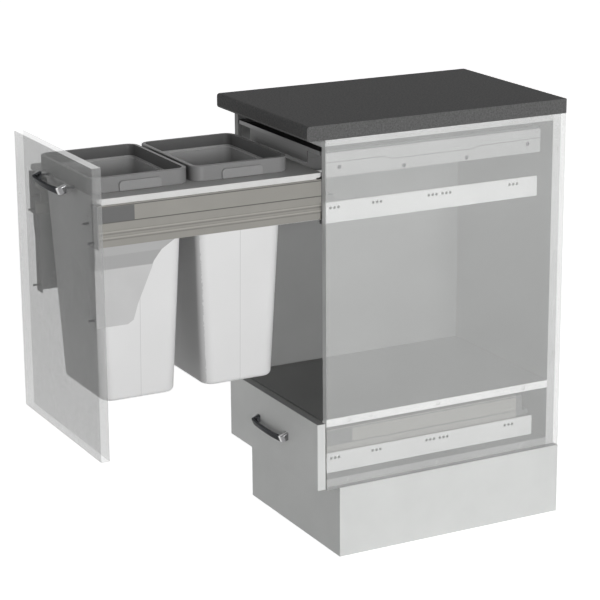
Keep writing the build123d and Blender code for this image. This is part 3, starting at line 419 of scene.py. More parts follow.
@dataclass(frozen=True)
class DrawerSideFinish(CoatedSteelFinish):
    """Warm grey coat with painted shade along the seam and the top line, and on each ridge a painted
    highlight along its crest with painted shade under it.
    """

    tone: Colour = (0.27, 0.262, 0.24)
    rough: float = 0.42
    bottom: float = 0.708
    # Heights of the seam and the top line, each drawn as a dark line of painted shade.
    line_rises: tuple[float, ...] = (0.0465, 0.0772)
    line_half: float = 0.0013
    line_share: float = 0.3
    ridge_rises: tuple[float, ...] = (0.0175, 0.0285)
    ridge_half: float = 0.0019
    crest_highlight_share: float = 1.3
    under_shade_share: float = 0.72

    def marked(self, sketch: Sketch, face: Socket) -> Socket:
        """Draw each ridge's painted highlight and the painted shade under it, then the painted shade along
        the seam and the top line.

        Args:
            sketch: the material's tree.
            face: the plain colour.

        Returns:
            The colour with the marks.
        """
        lines = []
        for rise in self.ridge_rises:
            lines.append((rise, self.ridge_half, self.crest_highlight_share))
            lines.append((rise - 2 * self.ridge_half, self.ridge_half, self.under_shade_share))
        lines += [(rise, self.line_half, self.line_share) for rise in self.line_rises]
        height = sketch.along("Z")
        for rise, half, share in lines:
            line = sketch.stripe(height, self.bottom + rise, half)
            face = sketch.over(line, face, shade(self.tone, share))
        return face


@dataclass(frozen=True)
class StayFinish(CoatedSteelFinish):
    """Light grey coat with painted shade on the joggle and above it."""

    name: str = "stay_coat"
    tone: Colour = grey(0.53)
    rough: float = 0.45
    joggle: tuple[float, float] = (0.659, 0.687)
    shade_shares: tuple[float, float] = (0.72, 0.76)
    blend: float = 0.001

    def marked(self, sketch: Sketch, face: Socket) -> Socket:
        """Paint shade over what is above the joggle's bottom, then over what is above its top.

        Args:
            sketch: the material's tree.
            face: the plain colour.

        Returns:
            The colour with the marks.
        """
        height = sketch.along("Z")
        for place, share in zip(self.joggle, self.shade_shares):
            face = sketch.over(sketch.beyond(height, place, self.blend), face, shade(self.tone, share))
        return face


@dataclass(frozen=True)
class BrushedMetalFinish(Finish):
    """Bare metal with brushing along the piece's length."""

    tone: Colour
    rough: float
    along: Point = (900.0, 900.0, 900.0)
    smoother: float = 0.08
    rougher: float = 0.1

    def draw(self, sketch: Sketch) -> None:
        """Draw the brushed metal.

        Args:
            sketch: the material's tree.
        """
        lines = sketch.noise(1.0, detail=3.0, place=sketch.stretched(self.along))
        sketch.roughness(lines, self.rough - self.smoother, self.rough + self.rougher, low=0.2, high=0.8)
        sketch.relief(lines, depth=0.00002, strength=0.3)
        sketch.fixed(Metallic=1.0)
        face = sketch.varied(lines, self.tone, share=0.1, low=0.25, high=0.75)
        sketch.colour(self.marked(sketch, face))


@dataclass(frozen=True)
class BowFinish(BrushedMetalFinish):
    """Satin nickel painted in the tones of its reflections: a near-black bar, grey feet, and painted
    highlights on the left foot and where the right end turns back.
    """

    name: str = "satin_nickel_bow"
    # The bar's near-black tone is a painted dark reflection; the feet's grey is painted to match the front.
    tone: Colour = (0.05, 0.052, 0.055)
    rough: float = 0.2
    along: Point = (60.0, 2600.0, 2600.0)
    smoother: float = 0.06
    rougher: float = 0.06
    # The turn and the left foot take painted highlights.
    turn: Colour = grey(0.6)
    foot: Colour = (0.25, 0.25, 0.255)
    left_foot_highlight: Colour = (0.7, 0.7, 0.705)
    edge_tint: Colour = grey(0.42)
    bar_half: float = 0.0665
    foot_blend: float = 0.0006
    left_foot_reach: float = 0.006
    left_foot_half: float = 0.009
    turn_middle: float = 0.0635
    turn_half: float = 0.004

    def marked(self, sketch: Sketch, face: Socket) -> Socket:
        """Draw both feet, then the left foot's painted highlight, then the painted highlight where the right
        end turns back.

        Args:
            sketch: the material's tree.
            face: the plain colour.

        Returns:
            The colour with the marks.
        """
        place = sketch.along("X")
        feet = sketch.beyond(sketch.maths("ABSOLUTE", place), self.bar_half, self.foot_blend)
        leftmost = sketch.stripe(place, -self.bar_half - self.left_foot_reach, self.left_foot_half)
        turning = sketch.stripe(place, self.turn_middle, self.turn_half)
        for share, tone in ((feet, self.foot), (leftmost, self.left_foot_highlight), (turning, self.turn)):
            face = sketch.over(share, face, tone)
        sketch.fixed(Specular_Tint=(*self.edge_tint, 1.0))
        return face


@dataclass(frozen=True)
class EndPlateFinish(CoatedSteelFinish):
    """Grey coat of the plates behind a front, pale on the right screw tab."""

    name: str = "end_plate_coat"
    tone: Colour = grey(0.13)
    rough: float = 0.5
    tab_tone: Colour = grey(0.5)
    tab_middle: float = 0.11
    tab_half: float = 0.0372

    def marked(self, sketch: Sketch, face: Socket) -> Socket:
        """Draw the tab."""
        away = sketch.away(sketch.along("X"), self.tab_middle)
        return sketch.over(sketch.maths("LESS_THAN", away, self.tab_half), face, self.tab_tone)


@dataclass(frozen=True)
class MouldedFinish(Finish):
    """Moulded plastic with a fine spark-eroded grain and a faint flow in its tone."""

    tone: Colour
    rough: float
    smoother: float = 0.05
    rougher: float = 0.07
    mottle: float = 0.02

    def draw(self, sketch: Sketch) -> None:
        """Draw the plastic.

        Args:
            sketch: the material's tree.
        """
        grain = sketch.noise(scale=1700.0, detail=2.0)
        sketch.roughness(grain, self.rough - self.smoother, self.rough + self.rougher)
        sketch.relief(grain, depth=0.00003, strength=0.5)
        sketch.fixed(Specular_IOR_Level=0.4)
        face = sketch.varied(sketch.noise(scale=6.0, detail=2.0), self.tone, self.mottle)
        sketch.colour(self.marked(sketch, face))


@dataclass(frozen=True)
class BucketFinish(MouldedFinish):
    """Light moulded plastic with a thin darker line up the middle of each long side."""

    tone: Colour = grey(0.74)
    rough: float = 0.42
    middle: float = -0.92
    line_half: float = 0.0009
    line_share: float = 0.8

    def marked(self, sketch: Sketch, face: Socket) -> Socket:
        """Draw the darker line."""
        line = sketch.stripe(sketch.along("Y"), self.middle, self.line_half)
        return sketch.over(line, face, shade(self.tone, self.line_share))


@dataclass(frozen=True)
class BeechFinish(Finish):
    """Turned beech with its grain along the dowel, sealed pale where its end lies flush in a board's edge."""

    name: str = "beech"
    early: Colour = (0.62, 0.47, 0.33)
    late: Colour = (0.45, 0.31, 0.2)
    sealed: Colour = (0.66, 0.66, 0.65)
    sealed_across: float = 0.1828
    along: Point = (40.0, 900.0, 900.0)

    def draw(self, sketch: Sketch) -> None:
        """Draw the wood and its sealed end.

        Args:
            sketch: the material's tree.
        """
        fibres = sketch.noise(1.0, detail=4.0, place=sketch.stretched(self.along))
        wood = sketch.ramp(fibres, NOISE_LOW, NOISE_HIGH, self.early, self.late)
        at_end = sketch.maths("GREATER_THAN", sketch.along("X"), self.sealed_across)
        sketch.colour(sketch.over(at_end, wood, self.sealed))
        sketch.roughness(fibres, smooth=0.6, rough=0.75)
        sketch.relief(fibres, depth=0.0001, strength=0.5)


@dataclass(frozen=True)
class SoftStripFinish(Finish):
    """Soft extruded strip with fine lengthwise lines."""

    name: str = "soft_strip"
    tone: Colour = grey(0.29)
    along: Point = (12.0, 700.0, 1500.0)

    def draw(self, sketch: Sketch) -> None:
        """Draw the strip and its lines.

        Args:
            sketch: the material's tree.
        """
        lines = sketch.noise(1.0, detail=2.0, place=sketch.stretched(self.along))
        sketch.colour(sketch.varied(lines, self.tone, share=0.1))
        sketch.roughness(lines, smooth=0.6, rough=0.72)
        sketch.relief(lines, depth=0.00008, strength=0.5)


class Finishes:
    """Every finish of the cabinet, each made once."""

    def __init__(self) -> None:
        """Build the materials."""
        # inside: the shade inside the carcass, painted as a darker board tone.
        inside, pale, band = (0.2, 0.202, 0.2), grey(0.9), (0.7, 0.705, 0.7)
        # Each board's right-hand end has its own tone, from dark to light, painted as the light and shade on
        # that end.
        end_shade_tones = {"top_panel": 0.46, "fixed_shelf": 0.92, "bottom_panel": 0.31, "back_panel": 0.56}
        self.board = MelamineFinish().make()
        self.inner_shaded_board = MelamineFinish("inner_shaded_melamine", inside=inside).make()
        self.left_shaded_board = MelamineFinish("left_shaded_melamine", inside=inside, edge_line=0.1995).make()
        self.ends = {
            node: MelamineFinish(f"{node}_end", grey(tone)).make() for node, tone in end_shade_tones.items()
        }
        self.light_edge = MelamineFinish("light_edge_band", band).make()
        # A dark copy of the board for the fronts' up-facing edges: painted shade.
        self.shaded_top_edge = MelamineFinish("shaded_top_edge_band", (0.28, 0.283, 0.28)).make()
        self.clear_side = MelamineFinish("clear_side_face", opacity=0.3).make()
        self.side_edge = MelamineFinish("clear_side_edge", (0.57, 0.575, 0.57), opacity=0.77).make()
        # The clear boards' top edges: a pale tone and a glow, a painted highlight.
        self.side_top_glow = MelamineFinish("clear_side_top_painted_glow", pale, opacity=0.5, glow=0.3).make()
        self.clear_front = MelamineFinish("clear_front_face", (0.38, 0.385, 0.38), opacity=0.43).make()
        self.front_edge = MelamineFinish("clear_front_edge", band, opacity=0.2).make()
        self.front_top_glow = MelamineFinish("clear_front_top_painted_glow", pale, opacity=0.31, glow=0.95).make()
        self.benchtop = LaminateFinish().make()
        # A lighter copy of the laminate for the front edge's down-facing round: painted light from below.
        self.benchtop_lit_underside = LaminateFinish("speckled_laminate_lit_low", grey(0.19), grey(0.25), grey(0.13)).make()
        self.benchtop_end = LaminateFinish("speckled_laminate_end", grey(0.115), (0.24, 0.24, 0.235)).make()
        self.rail = CoatedSteelFinish("bright_zinc", grey(0.67), 0.38).make()
        # A dark copy of the zinc coat for the left-hand cabinet rails: painted shade inside the carcass.
        self.shaded_rail = CoatedSteelFinish("shaded_zinc", grey(0.2), 0.5).make()
        self.end_plate = EndPlateFinish().make()
        self.side_of = {
            "bin": DrawerSideFinish("waste_side_coat").make(),
            "low": DrawerSideFinish("low_side_coat", bottom=0.188).make(),
        }
        self.stay = StayFinish().make()
        # A dark copy of the stay coat for the left-hand stay: painted shade.
        self.shaded_stay = StayFinish("shaded_stay_coat", grey(0.2)).make()
        self.carrier = CoatedSteelFinish("carrier_coat", (0.64, 0.64, 0.63), 0.42).make()
        # A darker copy of the carrier coat for faces looking up: painted shade.
        self.carrier_top_shade = CoatedSteelFinish("carrier_top_shaded_coat", (0.49, 0.49, 0.485), 0.46).make()
        self.lid = CoatedSteelFinish("lid_coat", grey(0.3), 0.42).make()
        # A lighter copy of the lid coat for its front faces: painted highlight.
        self.lid_hem_lit = CoatedSteelFinish("lid_hem_lit_coat", grey(0.32), 0.42).make()
        # A near-black copy of the lid coat for its sides and floor and the strip's ends: painted shade.
        self.lid_side_shade = CoatedSteelFinish("lid_side_shaded_coat", grey(0.06), 0.5).make()
        self.ledge = CoatedSteelFinish("ledge_coat", grey(0.36), 0.42).make()
        self.crease = CoatedSteelFinish("crease_shade", grey(0.05), 0.6).make()
        self.handle = BowFinish().make()
        # A lighter copy of the nickel for the handle's lower rim: painted highlight.
        self.handle_rim_highlight = BrushedMetalFinish("rim_highlight_nickel", (0.32, 0.32, 0.33), 0.2, BowFinish.along).make()
        self.dark_screw = BrushedMetalFinish("dark_screw", (0.06, 0.06, 0.065), 0.4).make()
        self.screw = BrushedMetalFinish("zinc_screw", (0.55, 0.55, 0.56), 0.35).make()
        self.bucket_of = {
            "front": BucketFinish("front_bucket_plastic").make(),
            "rear": BucketFinish("rear_bucket_plastic", middle=-0.706).make(),
        }
        # A darker copy of the bucket plastic for the rear bucket's front: painted shadow of the front bucket.
        self.bucket_shaded = MouldedFinish("shaded_bucket_plastic", grey(0.58), 0.45).make()
        # A darker copy of the bucket plastic for its inward faces: painted shade inside the buckets.
        self.bucket_inside_shade = MouldedFinish("bucket_inside_shaded_plastic", grey(0.46), 0.5).make()
        # Dark plastic for the painted shade in the rails' holes, and for the rail stops.
        self.hole_shade_and_stop = MouldedFinish("hole_shade_and_stop_plastic", grey(0.05), 0.5).make()
        self.collar = MouldedFinish("collar_plastic", grey(0.18), 0.45).make()
        self.collar_lug = MouldedFinish("collar_lug_plastic", grey(0.225), 0.45).make()
        # A darker copy of the collar plastic for its inward faces: painted shade.
        self.collar_inside_shade = MouldedFinish("collar_inside_shaded_plastic", grey(0.1), 0.5).make()
        self.bracket = MouldedFinish("bracket_plastic", grey(0.1), 0.5).make()
        self.label = MouldedFinish("inlay_plastic", grey(0.112), 0.35).make()
        self.nylon = MouldedFinish("nylon", (0.75, 0.75, 0.72), 0.4).make()
        self.beech = BeechFinish().make()
        self.seal = SoftStripFinish().make()


# ---- dressing and making


class Side(Enum):
    """The two hands of a paired piece."""

    LEFT = "left"
    RIGHT = "right"

    @property
    def hand(self) -> float:
        """Give the side's sign along X."""
        return 1.0 if self is Side.RIGHT else -1.0


class Way(Enum):
    """The ways that a face can look."""

    RIGHT = (1.0, 0.0, 0.0)
    FRONT = (0.0, -1.0, 0.0)
    BACK = (0.0, 1.0, 0.0)
    UP = (0.0, 0.0, 1.0)

    def fits(self, face: Face) -> bool:
        """Tell whether a face looks this way."""
        return face.normal.dot(Vector(self.value)) > FLAT


def is_end(face: Face) -> bool:
    """Tell whether a face looks to the left or to the right."""
    return abs(face.normal.x) > FLAT


def dress(node: str, material: Material, *others: tuple[Material, Callable[[Face], bool]]) -> None:
    """Give a frame node its finish.

    Args:
        node: the node's name.
        material: the finish of its faces.
        others: further finishes, each with the test of the faces that take it.
    """
    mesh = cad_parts[node].data
    mesh.materials.clear()
    mesh.materials.append(material)
    for index, (other, chosen) in enumerate(others, 1):
        mesh.materials.append(other)
        for face in mesh.polygons:
            if chosen(face):
                face.material_index = index
    log.info("dressed %s in %s", node, material.name)


def dress_pair(stem: str, material: Material) -> None:
    """Give both hands of a paired node one material."""
    for side in Side:
        dress(f"{stem}_{side.value}", material)


def finished_mesh(name: str, work: Draft) -> bpy.types.Mesh:
    """Turn the mesh being made into a finished one.

    Args:
        name: the mesh's name.
        work: the mesh being made.

    Returns:
        The mesh.
    """
    mesh = bpy.data.meshes.new(name)
    work.to_mesh(mesh)
    work.free()
    return mesh


def boxes_mesh(name: str, spans: Sequence[tuple[Point, Point]], bevel: float = 0.0004) -> bpy.types.Mesh:
    """Join bevelled blocks into one mesh.

    Args:
        name: the mesh's name.
        spans: the low and high corner of each block.
        bevel: how far the edges are broken.

    Returns:
        The mesh.
    """
    work = bmesh.new()
    for low, high in spans:
        middle = [(a + b) / 2 for a, b in zip(low, high)]
        size = [b - a for a, b in zip(low, high)]
        place = Matrix.Translation(middle) @ Matrix.Diagonal((*size, 1.0))
        made = bmesh.ops.create_cube(work, size=1.0, matrix=place)
        edges = {edge for vert in made["verts"] for edge in vert.link_edges}
        bmesh.ops.bevel(work, geom=list(edges), offset=bevel, segments=2, affect="EDGES")
    return finished_mesh(name, work)


def linked(name: str, data: bpy.types.ID) -> bpy.types.Object:
    """Put a new object in the scene.

    Args:
        name: the object's name.
        data: its mesh, lamp or camera.

    Returns:
        The object.
    """
    made = bpy.data.objects.new(name, data)
    bpy.context.scene.collection.objects.link(made)
    return made


def place_piece(mesh: bpy.types.Mesh, body: str, *materials: Material) -> bpy.types.Object:
    """Put a new piece in the scene, named after its mesh, dressed and riding its body.

    Args:
        mesh: its mesh.
        body: the body that carries it.
        materials: its finishes, the first on every face until told otherwise.

    Returns:
        The piece.
    """
    piece = linked(mesh.name, mesh)
    for material in materials:
        mesh.materials.append(material)
    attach(piece, body)
    log.info("made %s", mesh.name)
    return piece


def bridge(work: Draft, rings: Sequence[Sequence[bmesh.types.BMVert]]) -> None:
    """Join each ring of points to the next with faces, all the way round.

    Args:
        work: the mesh being made.
        rings: the rings, with equal numbers of points.
    """
    for low, high in zip(rings, rings[1:]):
        for step in range(len(low)):
            following = (step + 1) % len(low)
            work.faces.new((low[step], low[following], high[following], high[step]))


def turn_up(
    work: Draft, start: Point, direction: Point, profile: Sequence[tuple[float, float]],
    steps: int = 20, flute: float = 0.0,
) -> None:
    """Turn a profile round an axis, closed at both ends.

    Args:
        work: the mesh being made.
        start: where the axis starts.
        direction: where it goes.
        profile: radius and height of each ring, from the start on.
        steps: points of each ring.
        flute: how much deeper every second point of a ring lies.
    """
    place = Matrix.Translation(start) @ Vector(direction).to_track_quat("Z", "Y").to_matrix().to_4x4()
    rings = []
    for radius, height in profile:
        ring = []
        for step in range(steps):
            angle, reach = 2 * math.pi * step / steps, radius - (flute if step % 2 else 0.0)
            point = Vector((reach * math.cos(angle), reach * math.sin(angle), height))
            ring.append(work.verts.new(place @ point))
        rings.append(ring)
    work.faces.new(list(reversed(rings[0])))
    work.faces.new(rings[-1])
    bridge(work, rings)


@dataclass
class ClearBoard:
    """A see-through board: clear faces, edges in their own tone and clearness, and a top edge painted pale
    and glowing as a highlight.
    """

    name: str
    node: str
    body: str
    slot: str
    low: Point
    high: Point
    flat_axis: int
    face: Material
    edge: Material
    top: Material
    rear: Material
    leaning: float = 0.5

    def build(self) -> None:
        """Make the board and let it stand for its node."""
        mesh = boxes_mesh(self.name, [(self.low, self.high)])
        piece = place_piece(mesh, self.body, self.face, self.edge, self.top, self.rear)
        for face in mesh.polygons:
            if abs(face.normal[self.flat_axis]) < FLAT:
                on_rear = face.normal.y > self.leaning
                face.material_index = 2 if face.normal.z > self.leaning else 3 if on_rear else 1
        piece.visible_shadow = False
        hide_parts(self.node)


# ---- sub-assemblies


@dataclass
class Carcass:
    """The boards, their fixings and the benchtop."""

    finishes: Finishes
    side_low: Point = (0.1843, -0.56, 0.1502)
    side_high: Point = (0.2, 0.0, 0.8698)
    benchtop_lean: float = 0.2
    benchtop_round: float = -0.59

    def is_low_edge(self, face: Face) -> bool:
        """Tell whether a face is on the benchtop's front edge and looks down."""
        return face.normal.z < -self.benchtop_lean and face.center.y < self.benchtop_round

    def build(self) -> None:
        """Dress the carcass."""
        looks = self.finishes
        extras = {"top_panel": (looks.light_edge, Way.FRONT.fits), "back_panel": (looks.board, Way.BACK.fits)}
        # Inner faces take the painted inner shade, and each board's end takes its own painted light and
        # shade.
        for node, end in looks.ends.items():
            others = [(end, Way.RIGHT.fits), extras[node]] if node in extras else [(end, Way.RIGHT.fits)]
            dress(node, looks.inner_shaded_board, *others)
        for node in ("plinth_front", "plinth_rear"):
            dress(node, looks.board)
        dress_pair("plinth_side", looks.board)
        dress("side_panel_left", looks.left_shaded_board)
        dress("side_panel_right", looks.clear_side)
        ClearBoard(
            "side_panel_right_clear", "side_panel_right", "carcass", "clear_panel",
            self.side_low, self.side_high, 0,
            face=looks.clear_side, edge=looks.side_edge, top=looks.side_top_glow, rear=looks.front_edge,
        ).build()
        # The front edge's down-facing round takes painted light.
        dress(
            "benchtop", looks.benchtop, (looks.benchtop_end, is_end), (looks.benchtop_lit_underside, self.is_low_edge)
        )
        dress("benchtop_screws", looks.screw)
        dress("carcass_dowels", looks.beech)


@dataclass
class Dowels:
    """Fluted dowels of the carcass, ending flush where they meet the clear board."""

    finishes: Finishes
    radius: float = 0.004
    flute: float = 0.0003
    flutes: int = 16
    chamfer: float = 0.001
    length: float = 0.03
    in_side: float = 0.012
    inner_half: float = 0.184
    clear_end: float = 0.1839
    stations: tuple[float, ...] = (-0.5, -0.2905, -0.081)
    levels: tuple[float, ...] = (0.158, 0.286, 0.862)
    back_y: float = -0.0115
    back_levels: tuple[float, ...] = (0.354, 0.574, 0.794)
    boards: tuple[str, ...] = ("bottom_panel", "fixed_shelf", "top_panel", "back_panel")
    plinth_stations: tuple[float, ...] = (-0.454, -0.076)
    plinth_top: float = 0.15
    plinth_inset: float = 0.008

    def dowel(self, work: Draft, start: Point, direction: Point, length: float) -> None:
        """Add one dowel from a start along a direction.

        Args:
            work: the mesh being made.
            start: the middle of its first end.
            direction: where it points.
            length: how long it is.
        """
        end, far = self.radius - self.chamfer, length - self.chamfer
        profile = [(end, 0.0), (self.radius, self.chamfer), (self.radius, far), (end, length)]
        turn_up(work, start, direction, profile, 2 * self.flutes, self.flute)

    def build(self) -> None:
        """Make every dowel and let them stand for their node."""
        work = bmesh.new()
        places = [(y, z) for z in self.levels for y in self.stations]
        places += [(self.back_y, z) for z in self.back_levels]
        for y, z in places:
            far = self.inner_half + self.in_side
            self.dowel(work, (-far, y, z), (1.0, 0.0, 0.0), self.length)
            self.dowel(work, (self.clear_end, y, z), (-1.0, 0.0, 0.0), self.length - self.in_side)
        low, middle = self.plinth_top - self.length / 2, self.inner_half + self.plinth_inset
        for y in self.plinth_stations:
            self.dowel(work, (-middle, y, low), (0.0, 0.0, 1.0), self.length)
            self.dowel(work, (middle, y, low), (0.0, 0.0, 1.0), self.length / 2 - self.flute)
        mesh = finished_mesh("carcass_dowels_fluted", work)
        ends = [self.finishes.ends[node] for node in self.boards]
        piece = place_piece(mesh, "carcass", self.finishes.beech, *ends)
        # Dowel ends flush in a board's end take that board's painted end shade.
        for face in mesh.polygons:
            if Way.RIGHT.fits(face) and face.center.x > self.clear_end - self.flute:
                at_back = abs(face.center.y - self.back_y) < self.radius
                away = [abs(level - face.center.z) for level in self.levels]
                face.material_index = 1 + (len(away) if at_back else away.index(min(away)))
        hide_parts("carcass_dowels")


@dataclass
class TurnedScrews:
    """Pan-head screws with a rolled thread, along X into the side panels, and a thin dark cross standing on
    each head that paints the shade of a cross recess.
    """

    finishes: Finishes
    name: str
    node: str
    slot: str
    seat: float
    places: Sequence[tuple[float, float]]
    head_radius: float = 0.0019
    head_height: float = 0.0021
    head_form: tuple[tuple[float, float], ...] = ((0.5, 1.0), (0.8, 0.85), (0.97, 0.5), (1.0, 0.0))
    root: float = 0.0015
    crest: float = 0.0019
    pitch: float = 0.001
    length: float = 0.013
    clear_end: float = 0.18415
    cross_length: float = 0.0022
    cross_width: float = 0.00045
    cross_stand: float = 0.00002
    thread_gap: float = 0.0001
    dark: bool = False
    mark: float = 0.0
    mark_top: float = 0.98
    mark_inner: float = 0.18406
    mark_thick: float = 0.0001

    def profile(self, length: float) -> list[tuple[float, float]]:
        """Draw half of a screw: a crowned head, then the thread.

        Args:
            length: how far the thread goes.

        Returns:
            Radius and height of each ring.
        """
        points = [(across * self.head_radius, -up * self.head_height) for across, up in self.head_form]
        height = 0.0
        while height + self.pitch < length:
            points += [(self.root, height), (self.crest, height + self.pitch / 2)]
            height += self.pitch
        return points + [(self.root, height), (self.root, length)]

    def screw(self, work: Draft, side: Side, y: float, z: float) -> None:
        """Add one screw on a side, with its mark on the clear board if it has one.

        Args:
            work: the mesh being made.
            side: the side panel that holds it.
            y: its place along the rail.
            z: its height.
        """
        hand, is_right = side.hand, side is Side.RIGHT
        length = self.clear_end - self.seat if is_right else self.length
        turn_up(work, (hand * self.seat, y, z), (hand, 0.0, 0.0), self.profile(length))
        if self.mark and is_right:
            mark, thick = self.mark, self.mark_thick
            rim = [(mark, 0.0), (mark, thick / 2), (self.mark_top * mark, thick)]
            turn_up(work, (self.mark_inner, y, z), (1.0, 0.0, 0.0), rim)
        outer = self.seat - self.head_height
        # A thin dark cross standing on the head: painted shade of the cross recess.
        long, short = self.cross_length / 2, self.cross_width / 2
        for half_y, half_z in ((long, short), (short, long)):
            size = (2 * self.cross_stand, 2 * half_y, 2 * half_z, 1.0)
            place = Matrix.Translation((hand * outer, y, z)) @ Matrix.Diagonal(size)
            for vert in bmesh.ops.create_cube(work, size=1.0, matrix=place)["verts"]:
                for face in vert.link_faces:
                    face.material_index = 1

    def build(self) -> None:
        """Make the screws and let them stand for their node."""
        work = bmesh.new()
        for side in Side:
            for y, z in self.places:
                self.screw(work, side, y, z)
        mesh = finished_mesh(self.name, work)
        piece = place_piece(mesh, "carcass", self.finishes.screw, self.finishes.dark_screw)
        for face in mesh.polygons:
            if self.dark or abs(face.center.x) > self.seat + self.thread_gap:
                face.material_index = 1
        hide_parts(self.node)


@dataclass
class RailHoleShades:
    """Dark domes in the rails' spare holes and thin dark rims round the right-hand holes, which paint the
    shade inside the holes, and the stop at the front of the waste drawer's rail.
    """

    finishes: Finishes
    stations: tuple[float, ...] = (-0.532, -0.436, -0.308, -0.276, -0.116)
    spacing: float = 0.009
    radius: float = 0.00212
    inner: float = 0.1829
    outer: float = 0.18396
    dome: float = 0.0003
    inner_share: float = 0.6
    outer_share: float = 0.9
    flange: float = 0.0031
    flange_start: float = 0.18402
    flange_thick: float = 0.00024
    flange_chamfer: float = 0.00005
    stop_across: tuple[float, float] = (0.1762, 0.1825)
    stop_bottom: float = 0.7
    stop_steps: tuple[Point, ...] = ((-0.5612, -0.5583, 0.7068), (-0.5583, -0.552, 0.7036))

    def holes(self) -> list[float]:
        """List the spare holes' places along a rail."""
        every = [station + step * self.spacing for station in self.stations for step in (-1, 0, 1)]
        return [y for y in every if y not in RUNNER_SCREWED]

    def build(self) -> None:
        """Make the painted hole shades and the stops."""
        work = bmesh.new()
        radius, length = self.radius, self.outer - self.inner
        # Dark domes in the spare holes: painted shade inside the holes.
        profile = [(self.inner_share * radius, 0.0), (radius, self.dome),
                   (radius, length - self.dome / 2), (self.outer_share * radius, length)]
        for hand in HANDS:
            for z in RUNNER_LEVELS:
                for y in self.holes():
                    turn_up(work, (hand * self.inner, y, z), (hand, 0.0, 0.0), profile)
        # Thin dark rims round the right-hand holes: painted shade of the holes.
        inset, thick = self.flange_chamfer, self.flange_thick
        rim = [(self.flange, 0.0), (self.flange, thick - inset), (self.flange - inset, thick)]
        for z in RUNNER_LEVELS:
            for y in (*self.holes(), *RUNNER_SCREWED):
                turn_up(work, (self.flange_start, y, z), (1.0, 0.0, 0.0), rim)
        piece = place_piece(finished_mesh("rail_hole_shades", work), "carcass", self.finishes.hole_shade_and_stop)
        for side in Side:
            low, high = sorted(side.hand * x for x in self.stop_across)
            foot = self.stop_bottom
            spans = [((low, front, foot), (high, rear, top)) for front, rear, top in self.stop_steps]
            mesh = boxes_mesh(f"bin_rail_stop_{side.value}", spans)
            stop = place_piece(mesh, "carcass", self.finishes.hole_shade_and_stop)


@dataclass
class LedgeCrease:
    """A thin dark strip at the bottom of the stepped crease in each ledge bracket's outer face, painting the
    shade there.
    """

    finishes: Finishes

    path: tuple[tuple[float, float], ...] = (
        (-0.552, 0.8218), (-0.419, 0.8218), (-0.404, 0.8153),
        (-0.215, 0.8153), (-0.2, 0.8198), (-0.052, 0.8218),
    )
    height: float = 0.0011
    inner: float = 0.18402
    outer: float = 0.18412

    def build(self) -> None:
        """Make the strip on both brackets."""
        work = bmesh.new()
        for hand in HANDS:
            rows = []
            for y, z in self.path:
                low = z - self.height
                corners = ((self.inner, z), (self.inner, low), (self.outer, low), (self.outer, z))
                rows.append([work.verts.new((hand * x, y, level)) for x, level in corners])
            bridge(work, rows)
            work.faces.new(rows[0])
            work.faces.new(list(reversed(rows[-1])))
        bmesh.ops.recalc_face_normals(work, faces=work.faces)
        piece = place_piece(finished_mesh("ledge_crease_shade_strip", work), "carcass", self.finishes.crease)


@dataclass
class CollarLugs:
    """The rounded grip pads on the long sides of the collars."""

    finishes: Finishes
    middles: dict[str, float]
    half_length: float = 0.0435
    bottom: float = 0.8018
    top: float = 0.8215
    back: float = 0.1312
    face: float = 0.1349
    corner: float = 0.008
    foot: float = 0.0025
    step: float = 0.0012
    segments: int = 8
    knee: float = 0.3
    least_radius: float = 0.0005

    def outline(self, inset: float) -> list[tuple[float, float]]:
        """Draw the pad seen from the side, with round upper corners.

        Args:
            inset: how far inside the pad's edge.

        Returns:
            The outline's points, as Y and Z.
        """
        half, top, bottom = self.half_length - inset, self.top - inset, self.bottom + inset
        points = []
        corners = ((half, top, self.corner, 0.0), (-half, top, self.corner, 90.0),
                   (-half, bottom, self.foot, 180.0), (half, bottom, self.foot, 270.0))
        for y, z, radius, first in corners:
            radius = max(radius - inset, self.least_radius)
            middle_y, middle_z = y - math.copysign(radius, y), z - radius if z == top else z + radius
            for part in range(self.segments + 1):
                angle = math.radians(first + 90.0 * part / self.segments)
                points.append((middle_y + radius * math.cos(angle), middle_z + radius * math.sin(angle)))
        return points

    def pad(self, work: Draft, hand: float, middle: float) -> None:
        """Add one pad with a rounded rim.

        Args:
            work: the mesh being made.
            hand: 1 on the right-hand side, -1 on the left-hand side.
            middle: the pad's middle along Y.
        """
        face, step, knee = self.face, self.step, self.knee * self.step
        rings = []
        for x, inset in ((self.back, 0.0), (face - step, 0.0), (face - knee, knee), (face, step)):
            rings.append([work.verts.new((hand * x, middle + y, z)) for y, z in self.outline(inset)])
        bridge(work, rings)
        work.faces.new(rings[0])
        work.faces.new(rings[-1])

    def build(self) -> None:
        """Make both pads of both collars."""
        for place, middle in self.middles.items():
            work = bmesh.new()
            for hand in HANDS:
                self.pad(work, hand, middle)
            bmesh.ops.recalc_face_normals(work, faces=work.faces)
            mesh = finished_mesh(f"collar_{place}_pads", work)
            piece = place_piece(mesh, f"collar_{place}", self.finishes.collar_lug)


@dataclass
class Runners:
    """Both pairs of runners."""

    finishes: Finishes

    def build(self) -> None:
        """Dress the rails, the glides and the screws."""
        for drawer in ("bin", "low"):
            for rail in ("cabinet_rail", "middle_rail", "drawer_rail"):
                dress_pair(f"{drawer}_{rail}", self.finishes.rail)
            dress_pair(f"{drawer}_glides", self.finishes.nylon)
            # The left-hand cabinet rails take painted shade.
            dress(f"{drawer}_cabinet_rail_left", self.finishes.shaded_rail)
        dress("runner_screws", self.finishes.screw)


